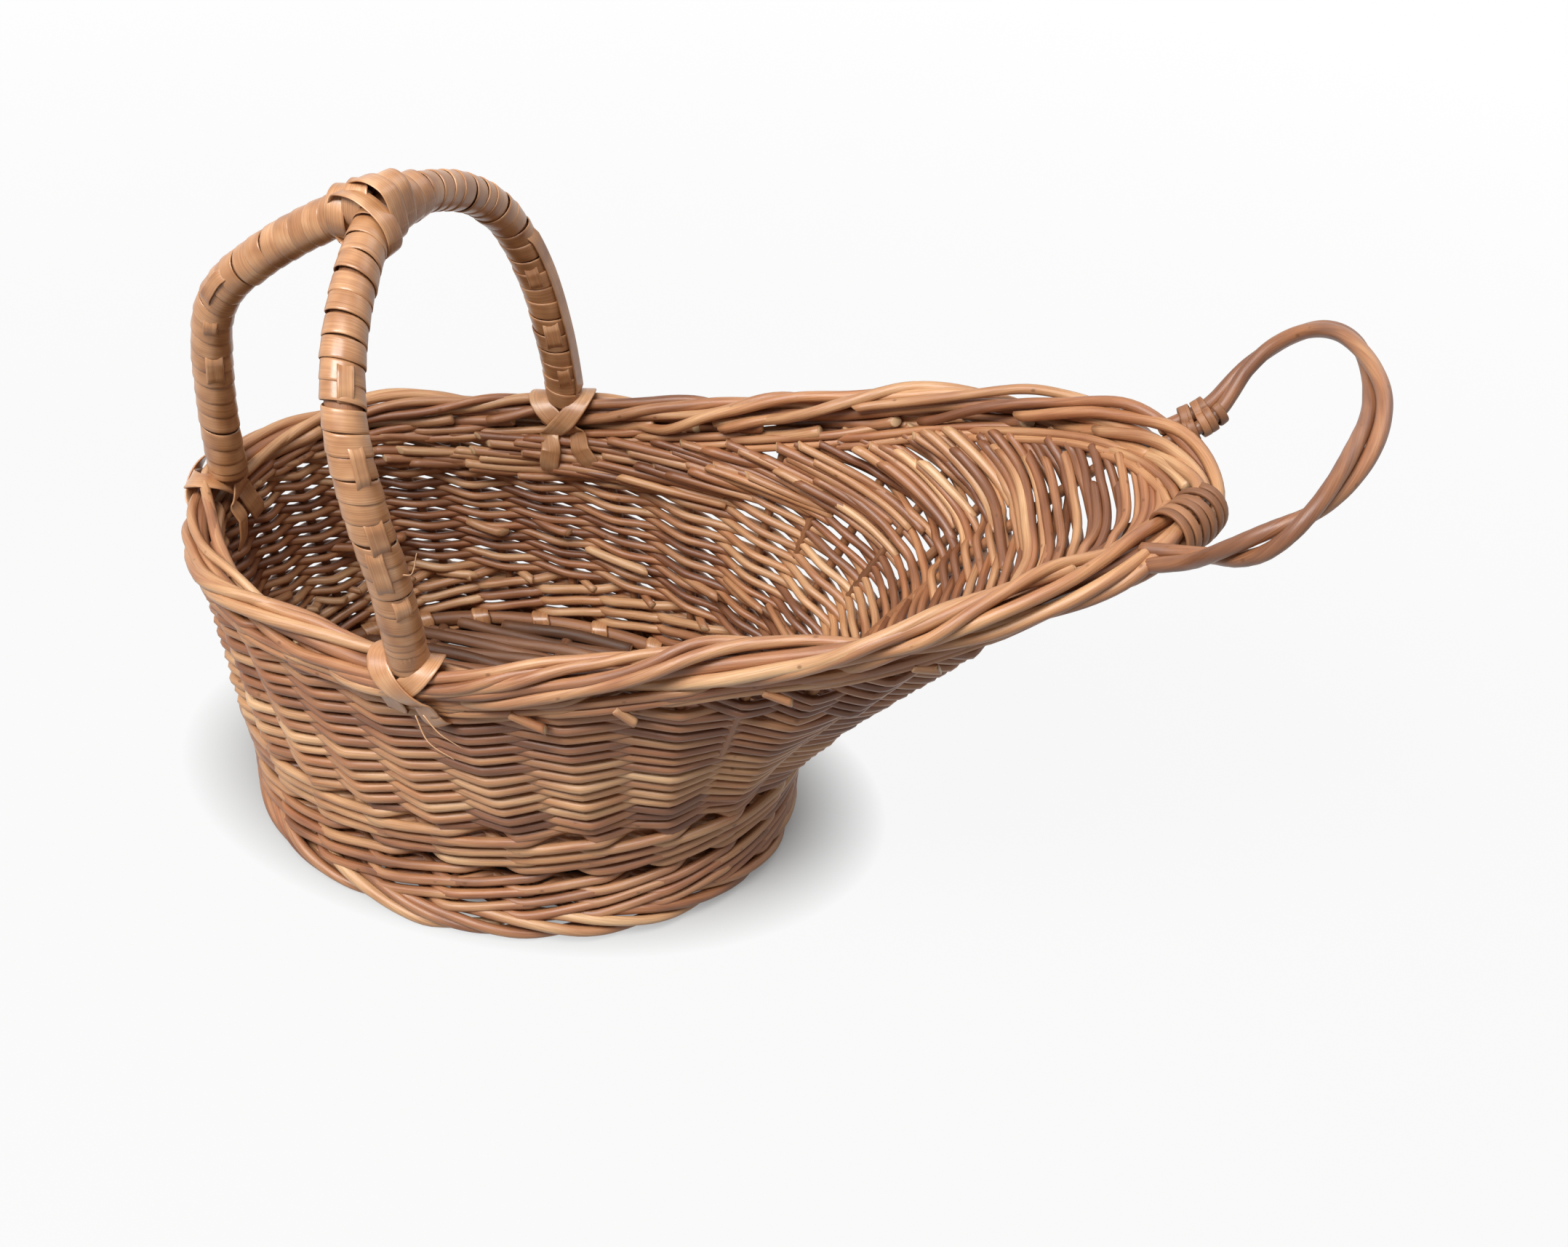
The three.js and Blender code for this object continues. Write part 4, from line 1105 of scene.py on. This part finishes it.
# Each winding runs from one distance to another along its path. Its foot is at one of the two, and the
# strips' places are distances up from there.
windings = {
    "wrapNearLeg": {"node": "wrap_near_leg", "path": bowPath, "run": (0.5, bowLength / 2),
                    "reference": forward, "tightTurns": 6, "footFirst": True,
                    "strips": [24, 37, 47, 66, 86], "facing": (0.62, -0.7, 0.3)},
    "wrapFarLeg": {"node": "wrap_far_leg", "path": bowPath, "run": (bowLength / 2, bowLength - 0.5),
                   "reference": forward, "tightTurns": 0, "footFirst": False, "strips": [14, 30, 52],
                   "facing": (0.3, -0.8, 0.5),
                   "longStrip": {"place": 36.0, "length": 62.0, "width": 5.0, "facing": (0.98, -0.1, 0.15)}},
    "wrapRearLeg": {"node": "wrap_rear_leg", "path": rearPath, "run": (0.5, rearLength + 1.5),
                    "reference": leftward, "tightTurns": 2, "footFirst": True, "strips": [44, 60, 74],
                    "facing": (0.2, -0.8, 0.6)},
}


def wrapSkin(look, rng):
    # Helix of flat cane: point = path(distance) + outward(fullTurn * turn) * radius. It moves on by one
    # pitch a turn, less in the first tight turns, with a drift that opens a slit here and there.
    begin, end = look["run"]
    tight, less = look["tightTurns"], wrap["pitch"] - wrap["tightPitch"]
    turns = (end - begin - wrap["width"] + tight * less) / wrap["pitch"]
    turn = np.arange(0, turns, 1 / wrap["stepsPerTurn"])
    distance = begin + wrap["width"] / 2 + turn * wrap["pitch"] - np.minimum(turn, tight) * less
    distance = distance + wander(rng, len(turn), *wrap["drift"]) * np.clip(turn - tight, 0.2, 1)
    side, over = across(runAt(look["path"], distance), look["reference"])
    outward = around(side, over, fullTurn * turn)
    radius = handle["core"] / 2 + wrap["gap"] + np.abs(wander(rng, len(turn), *wrap["uneven"]))
    return sweep(pointAt(look["path"], distance) + outward * radius[:, None],
                 caneSection(wrap["width"], wrap["thickness"], wrap["raised"]), outward, tone=0.5,
                 offset=rng.uniform(*grainStart))


def stripSkin(path, place, length, width, facing, rng):
    # A strip along the leg: height = core + rise * distance from the end, so both ends dip under a turn
    share = np.linspace(0, 1, 9 + int(length / 4))
    distance = place + (share - 0.5) * length
    outward = across(runAt(path, distance), facing)[1]
    fromEnd = np.minimum(share, 1 - share) * length
    height = handle["core"] / 2 + wrap["gap"] + strip["rise"] * np.minimum(1, fromEnd / 2) - strip["sunk"]
    return sweep(pointAt(path, distance) + outward * height[:, None], caneSection(width, strip["thickness"]),
                 outward, tone=rng.uniform(*strip["tones"]), offset=rng.uniform(*grainStart))


rng = np.random.default_rng(wrap["seed"])
stripRng = np.random.default_rng(strip["seed"])
for name, look in windings.items():
    skins = [wrapSkin(look, rng)]
    foot, way = (look["run"][0], 1) if look["footFirst"] else (look["run"][1], -1)
    for place in look["strips"]:
        facing = np.array(look["facing"]) + stripRng.uniform(-strip["turned"], strip["turned"], 3)
        length = strip["length"] * stripRng.uniform(*strip["lengths"])
        width = strip["width"] * stripRng.uniform(*strip["widths"])
        skins.append(stripSkin(look["path"], foot + way * place, length, width, facing, stripRng))
    if "longStrip" in look:
        long = look["longStrip"]
        skins.append(stripSkin(look["path"], foot + way * long["place"], long["length"], long["width"],
                               np.array(long["facing"]), stripRng))
    makePiece(name, skins, splitCane, [look["node"]])

# Canes that bind the rear leg to the bow: each is drawn tight round both in a plane that crosses them
joint = {
    "width": 5.9,
    "thickness": 0.6,
    "raised": 0.45,
    "steps": 96,
    "reach": 10.5,    # farthest that a cane stands off, tried in steps of the fineness
    "fineness": 0.15,
    "bowSpan": 26,    # how much of the bow and of the rear leg the canes can lie on
    "legSpan": 30,
    "bowPlaces": 60,
    "legPlaces": 40,
    "rounding": 11,
    # degrees that the plane is turned from square across the bow, places along it, clearances
    "under": {"turned": 90.0, "shifts": (10.8, 5.6), "layers": (0.45, 0.2)},
    "over": {"turned": -20.0, "shifts": (-6.2, -1.2, 4.2, 9.6, 15.0),
             "layers": (1.1, 1.0, 0.85, 0.65, 0.35)},
}


def jointSkin(turned, layer, shift):
    # profile(a) = the farthest radius at which the plane is still inside either wound leg; the cane lies
    # on the profile's convex hull: point(b) = h(b) * u(b) + h'(b) * u'(b), where h(b) = max(profile . u(b))
    cosine, sine = math.cos(math.radians(turned)), math.sin(math.radians(turned))
    aside, ahead = np.array([-sine, cosine, 0.0]), np.array([cosine, sine, 0.0])
    half, span = bowLength / 2, joint["bowSpan"]
    centre = pointAt(bowPath, half) + aside * shift
    onBow = np.linspace(half - span, half + span, joint["bowPlaces"])
    onLeg = np.linspace(rearLength - joint["legSpan"], rearLength, joint["legPlaces"])
    cores = np.vstack([pointAt(bowPath, onBow), pointAt(rearPath, onLeg)])
    angle = np.arange(joint["steps"]) / joint["steps"] * fullTurn
    flat = np.stack([np.cos(angle), np.sin(angle)], 1)
    outward = ahead * flat[:, :1] + upward * flat[:, 1:]
    radii = np.arange(0.0, joint["reach"], joint["fineness"])
    points = centre + outward[:, None, :] * radii[None, :, None]
    near = np.linalg.norm(points[:, :, None, :] - cores[None, None], axis=3).min(2)
    clear = handle["core"] / 2 + wrap["gap"] + wrap["thickness"] + layer
    profile = flat * np.array([radii[np.flatnonzero(row < clear)[-1]] for row in near])[:, None]
    hull = (profile @ flat.T).max(0)
    window = np.hanning(joint["rounding"])
    hull = np.convolve(np.tile(hull, 3), window / window.sum(), "same")[len(hull):-len(hull)]
    slope = (np.roll(hull, -1) - np.roll(hull, 1)) / (2 * fullTurn / joint["steps"])
    beside = ahead * -flat[:, 1:] + upward * flat[:, :1]
    line = centre + outward * hull[:, None] + beside * slope[:, None]
    section = caneSection(joint["width"], joint["thickness"], joint["raised"])
    return sweep(line, section, outward, closed=True)


for name in ("under", "over"):
    look = joint[name]
    skins = [jointSkin(look["turned"], layer, shift) for shift, layer in zip(look["shifts"], look["layers"])]
    makePiece("jointLap" + name.capitalize(), skins, splitCane, ["joint_lap_" + name])
print("stage: handle")


# Lappings that tie the legs to the rim: two canes at each leg, over the border beside the leg, crossed
# on both faces of the border, with their tails on the weave

lap = {
    "width": 6.6,
    "thickness": 0.7,
    "round": (-38, 215),    # degrees round the border, from its outer side
    "beside": 8.2,    # how far from the leg the canes pass over the border
    "clear": 0.35,
    "layer": 0.85,    # how much further out the second cane lies, and its tails
    "tailLayer": 0.9,
    "outside": (8.0, 5.0),    # how far down the weave the tails of the second and the first cane go
    "inside": (13.0, 11.5),
    "tailStart": 3.0,
    "tailOutside": 4.9,    # how far the tails stand off the middle of the weave
    "tailInside": 7.2,
    "tailBeside": 0.5,    # share of "beside" that is left where the tails start
    "tailSteps": 8,
    "steps": 60,
    "between": 4,    # points that are put in between each two to smooth the line
    "tuck": 2.2,
    "lean": 0.42,
    "cutSlant": 0.5,
    "narrowing": (0.25, 5.0),    # share of its width that an end loses, and over how far
    "tones": (0.5, 0.72),
    "seed": 61,
}


def lapTail(stake, hand, layer, face, perStake):
    # From the lower end up to the border: point = wall(place, depth) + normal * (standing - tuck * share^3)
    lengths, stand = (lap["outside"], lap["tailOutside"]) if face > 0 else (lap["inside"], lap["tailInside"])
    depth = np.linspace(lengths[0 if hand < 0 else 1], lap["tailStart"], lap["tailSteps"])
    place = stake - hand * (lap["beside"] * lap["tailBeside"] + depth * lap["lean"]) / perStake
    point, normal = wallAt(place, wallLength(place) - depth)
    share = np.clip((depth - lap["tailStart"]) / (depth[0] - lap["tailStart"]), 0, 1)
    stand = stand + lap["tailLayer"] * layer - share**3 * lap["tuck"]
    return point + normal * face * stand[:, None], normal * face


def lapSkin(stake, hand, layer, rng):
    # Round the border by angle a, at distance along it = leg + hand * beside * sin(a)
    angle = np.radians(np.linspace(*lap["round"], lap["steps"]))
    perStake = rimDistance(stake + 0.5) - rimDistance(stake - 0.5)
    perStake = perStake if perStake > 0 else perStake + rimLength
    distance = rimDistance(stake) + hand * lap["beside"] * np.sin(angle)
    side, over = across(runAt(rimPath, distance, True), upward)
    outward = around(side, over, angle)
    radius = body["border"] / 2 + lap["clear"] + layer * lap["layer"]
    top = pointAt(rimPath, distance, True) + outward * radius
    outerTail, outerNormal = lapTail(stake, hand, layer, 1, perStake)
    innerTail, innerNormal = lapTail(stake, hand, layer, -1, perStake)
    line = np.vstack([outerTail, top, innerTail[::-1]])
    facing = np.vstack([outerNormal, outward, innerNormal[::-1]])
    points, lengths = smoothPath(line, between=lap["between"])
    normals = np.stack([np.interp(lengths, lengthsOf(line), facing[:, k]) for k in range(3)], 1)
    lost, over = lap["narrowing"]
    scale = 1 - lost * np.clip(1 - np.minimum(lengths, lengths[-1] - lengths) / over, 0, 1)
    return sweep(points, caneSection(lap["width"], lap["thickness"]), unit(normals), scale,
                 tone=rng.uniform(*lap["tones"]), offset=rng.uniform(*grainStart),
                 slant=(lap["cutSlant"], -lap["cutSlant"]))


rng = np.random.default_rng(lap["seed"])
for leg, stake in (("Near", -handle["stake"]), ("Far", handle["stake"]), ("Rear", body["stakes"] / 2)):
    for layer, (name, hand) in enumerate((("Under", 1), ("Over", -1))):
        makePiece("lap" + leg + name, [lapSkin(stake, hand, layer, rng)], splitCane,
                  [f"lap_{leg}_{name}".lower()])
print("stage: lappings")


# Loop for the bottle's mouth: two rods twisted round each other

loop = {
    "reach": 35.4,
    "width": 87.0,
    "rise": 38.5,
    "foot": 31.0,
    "rod": 4.1,
    "step": 1.6,
    "sides": 14,
    "turns": 1.8,
    "root": 2.5,
    "gap": 0.15,
    "drift": (0.15, 12),    # size and smoothing, off the middle and in thickness
    "uneven": (0.02, 8),
    "tones": (0.08, 0.2),
    "seed": 71,
    # half outline from a foot to the front: shares of reach, half width and rise
    "outline": [(-0.05, 0.731, 0.166), (0.167, 0.933, 0.431), (0.384, 1, 0.644), (0.6, 0.933, 0.823),
                (0.816, 0.676, 0.961)],
}


def loopPlace(reach, width, rise, side):
    return np.array([body["spoutReach"] + reach * loop["reach"], side * width * loop["width"] / 2,
                     body["spoutHeight"] + rise * loop["rise"]])


def loopRoot(side):
    # A short way from the border's middle towards the loop
    rim = pointAt(rimPath, side * loop["foot"], True)
    return rim + unit(loopPlace(*loop["outline"][0], side) - rim) * loop["root"]


loopPath = smoothPath([loopRoot(-1), *[loopPlace(*row, -1) for row in loop["outline"]],
                       loopPlace(1, 0, 1, 1), *[loopPlace(*row, 1) for row in loop["outline"][::-1]],
                       loopRoot(1)])
loopLength = loopPath[1][-1]


def twistSkin(startTurn, rng):
    # point = path(distance) + outward(start + turns * share of the length) * half a rod
    distance = np.arange(0, loopLength, loop["step"])
    side, over = across(runAt(loopPath, distance), forward)
    outward = around(side, over, (startTurn + distance / loopLength * loop["turns"]) * fullTurn)
    radius = loop["rod"] / 2 + loop["gap"] + wander(rng, len(distance), *loop["drift"])
    scale = 1 + wander(rng, len(distance), *loop["uneven"])
    line = pointAt(loopPath, distance) + outward * radius[:, None]
    return sweep(line, roundSection(loop["rod"] / 2, loop["sides"]), outward, scale,
                 tone=rng.uniform(*loop["tones"]), offset=rng.uniform(*grainStart))


rng = np.random.default_rng(loop["seed"])
for name, startTurn in (("a", 0.0), ("b", 0.5)):
    makePiece(f"loopRod_{name}", [twistSkin(startTurn, rng)], buffWillow, [f"loop_rod_{name}"])

# Split rods bound round the loop's far end and round the tip of the spout. Each ends at a distance along
# its path.
bindings = {
    "loopBinding": {"node": "loop_binding", "path": loopPath, "end": loopLength - 5.4, "turns": 4.4,
                    "pitch": 2.5, "reference": forward, "closed": False},
    "tipBinding": {"node": "tip_binding", "path": rimPath, "end": -3.0, "turns": 5.3, "pitch": 3.0,
                   "reference": upward, "closed": True},
}
binding = {"width": 2.3, "thickness": 1.1, "stepsPerTurn": 28, "drift": (0.45, 10), "rodGap": 0.1,
           "borderGap": 0.2, "seed": 72}


def bindingRadius(name, angle, distance):
    # The loop's two rods lie side by side, so their binding is wider one way than the other
    if name == "tipBinding":
        return np.full(len(angle), body["border"] / 2 + binding["borderGap"])
    twist = distance / loopLength * loop["turns"] * fullTurn
    wider = np.abs(np.cos(angle - twist)) * (loop["rod"] / 2 + binding["rodGap"])
    return loop["rod"] / 2 + loop["gap"] + wider


def bindingSkin(name, look, rng):
    # Helix of split rod: point = path(distance) + outward(fullTurn * turn) * radius
    turn = np.arange(0, look["turns"], 1 / binding["stepsPerTurn"])
    begin = look["end"] - look["turns"] * look["pitch"]
    distance = begin + turn * look["pitch"] + wander(rng, len(turn), *binding["drift"])
    side, over = across(runAt(look["path"], distance, look["closed"]), look["reference"])
    angle = turn * fullTurn
    outward = around(side, over, angle)
    line = pointAt(look["path"], distance, look["closed"])
    line = line + outward * bindingRadius(name, angle, distance)[:, None]
    return sweep(line, caneSection(binding["width"], binding["thickness"]), outward, tone=0.4)


rng = np.random.default_rng(binding["seed"])
for name, look in bindings.items():
    makePiece(name, [bindingSkin(name, look, rng)], stakeWillowShaded, [look["node"]])

# A few thin fibres that came loose from the cane, each a curve through places from the near foot of the bow
strays = {"thickness": 0.4, "sides": 5, "step": 1.0, "taper": (1.2, 0.6), "tone": 0.95, "fibres": [
    ((6.0, -8.0, -13.0), (11.0, -10.0, -17.0), (17.0, -9.5, -22.0)),
    ((3.0, -7.0, -15.0), (7.5, -10.5, -21.0), (15.0, -11.5, -25.0)),
    ((4.8, -3.0, 34.0), (8.5, -5.0, 37.0), (10.0, -3.5, 43.0))]}
skins = []
for places in strays["fibres"]:
    line = evenSteps(smoothPath(np.array(places) + bowFoot * [1, -1, 1])[0], strays["step"])
    skins.append(sweep(line, roundSection(strays["thickness"] / 2, strays["sides"]), upward,
                       np.linspace(*strays["taper"], len(line)), tone=strays["tone"]))
makePiece("strayFibres", skins, splitCane)
print("stage: loop and bindings")


# Studio: pale floor, soft lamps, white background. Sizes here are in metres.

studio = {
    "floorSize": 6.0,
    "floorColour": "#989896",
    "floorWhite": 0.92,    # share of plain white that the floor shows beside the basket
    "shade": (0.105, 0.062),    # half sizes of the oval under the basket where no white is added, which paints shade round the foot
    "shadeEdge": (0.82, 1.2),    # where the white comes in and where all of it is there, in half sizes
    "farWhite": (3.0, 11.0),    # the same for the last share of white, towards the horizon
    "worldLight": 0.2,
    "lampAim": (0.05, 0.0, 0.08),
}


def seenDirectly(tree):
    # 1 for rays to the camera and for those in gloss and glass, 0 for the light that falls on the basket
    rays = addNode(tree, "ShaderNodeLightPath").outputs
    seen = addNode(tree, "ShaderNodeMath", (rays["Is Camera Ray"], rays["Is Glossy Ray"]),
                   operation="MAXIMUM")
    return addNode(tree, "ShaderNodeMath", (seen, rays["Is Transmission Ray"]), operation="MAXIMUM")


def buildFloor():
    mesh = bpy.data.meshes.new("studioFloor")
    half = studio["floorSize"] / 2
    mesh.from_pydata([(-half, -half, 0), (half, -half, 0), (half, half, 0), (-half, half, 0)], [],
                     [(0, 1, 2, 3)])
    ground = bpy.data.objects.new("studioFloor", mesh)
    bpy.context.scene.collection.objects.link(ground)
    material = bpy.data.materials.new("studio_floor_matt_white")
    material.use_nodes = True
    tree = material.node_tree
    tree.nodes.clear()
    # Share of plain white: the same everywhere but in an oval under the foot, where it fades out, so that
    # the darker floor there is painted shade round the foot, over the shadow that falls on it
    place = addNode(tree, "ShaderNodeTexCoord").outputs["Object"]
    place = addNode(tree, "ShaderNodeVectorMath", (place, (-middle[0], 0.0, 0.0)), operation="ADD")
    shape = (1 / studio["shade"][0], 1 / studio["shade"][1], 0.0)
    place = addNode(tree, "ShaderNodeVectorMath", (place, shape), operation="MULTIPLY")
    away = addNode(tree, "ShaderNodeVectorMath", (place,), operation="LENGTH")
    near = addNode(tree, "ShaderNodeMapRange", (away, *studio["shadeEdge"], 0.0, studio["floorWhite"]))
    wide = addNode(tree, "ShaderNodeMapRange", (away, *studio["farWhite"], 0.0, 1 - studio["floorWhite"]))
    white = addNode(tree, "ShaderNodeMath", (near, wide), operation="ADD")
    share = addNode(tree, "ShaderNodeMath", (seenDirectly(tree), white), operation="MULTIPLY")
    matt = addNode(tree, "ShaderNodeBsdfDiffuse", {"Color": linear(studio["floorColour"])})
    glow = addNode(tree, "ShaderNodeEmission", {"Color": (1, 1, 1, 1), "Strength": 1.0})
    surface = addNode(tree, "ShaderNodeMixShader", (share, matt, glow))
    addNode(tree, "ShaderNodeOutputMaterial", {"Surface": surface})
    mesh.materials.append(material)


def buildWorld():
    world = bpy.data.worlds.new("studioWorld")
    bpy.context.scene.world = world
    world.use_nodes = True
    tree = world.node_tree
    tree.nodes.clear()
    light = addNode(tree, "ShaderNodeBackground", {"Color": (1, 1, 1, 1), "Strength": studio["worldLight"]})
    white = addNode(tree, "ShaderNodeBackground", {"Color": (1, 1, 1, 1), "Strength": 1.0})
    surface = addNode(tree, "ShaderNodeMixShader", (seenDirectly(tree), light, white))
    addNode(tree, "ShaderNodeOutputWorld", {"Surface": surface})


lamps = {
    "lampKey": {"place": (-0.48, -0.5, 1.05), "size": 0.42, "power": 10.0},
    "lampTop": {"place": (-0.05, -0.4, 1.2), "size": 0.6, "power": 10.0},
    "lampBack": {"place": (0.45, 0.7, 0.95), "size": 0.7, "power": 2.5},
}


def buildLamps():
    target = Vector(middle) + Vector(studio["lampAim"])
    for name, look in lamps.items():
        data = bpy.data.lights.new(name, "AREA")
        data.shape = "DISK"
        data.size = look["size"]
        data.energy = look["power"]
        lamp = bpy.data.objects.new(name, data)
        lamp.location = look["place"]
        lamp.rotation_euler = (target - lamp.location).to_track_quat("-Z", "Y").to_euler()
        bpy.context.scene.collection.objects.link(lamp)


# Camera at the photograph's angle: turned and tilted about a point in the basket, in radians. Distances are
# in millimetres, and the focal length is in pixels of the photograph.
camera = {
    "turn": 0.236641,
    "tilt": 0.747233,
    "roll": 0.016579,
    "target": (90.455, 0.0, 91.895),
    "distance": 527.438,
    "focalPixels": 2400.0,
    "imageWidth": 2156.0,
    "sensor": 36.0,
    "nearest": 0.01,
}


def buildCamera():
    turn, tilt, roll = camera["turn"], camera["tilt"], camera["roll"]
    look = np.array([-math.sin(turn) * math.cos(tilt), math.cos(turn) * math.cos(tilt), -math.sin(tilt)])
    level = np.array([math.cos(turn), math.sin(turn), 0.0])
    above = np.cross(level, look)
    right = math.cos(roll) * level + math.sin(roll) * above
    top = math.cos(roll) * above - math.sin(roll) * level
    place = (np.array(camera["target"]) - camera["distance"] * look) * millimetre + middle
    data = bpy.data.cameras.new("camera")
    data.sensor_width = camera["sensor"]
    data.lens = camera["focalPixels"] / camera["imageWidth"] * camera["sensor"]
    data.clip_start = camera["nearest"]
    eye = bpy.data.objects.new("camera", data)
    eye.matrix_world = Matrix([[right[k], top[k], -look[k], place[k]] for k in range(3)] + [[0, 0, 0, 1]])
    bpy.context.scene.collection.objects.link(eye)
    bpy.context.scene.camera = eye


buildFloor()
buildWorld()
buildLamps()
buildCamera()
bpy.context.scene.view_settings.view_transform = "Standard"
print("stage: studio and camera")
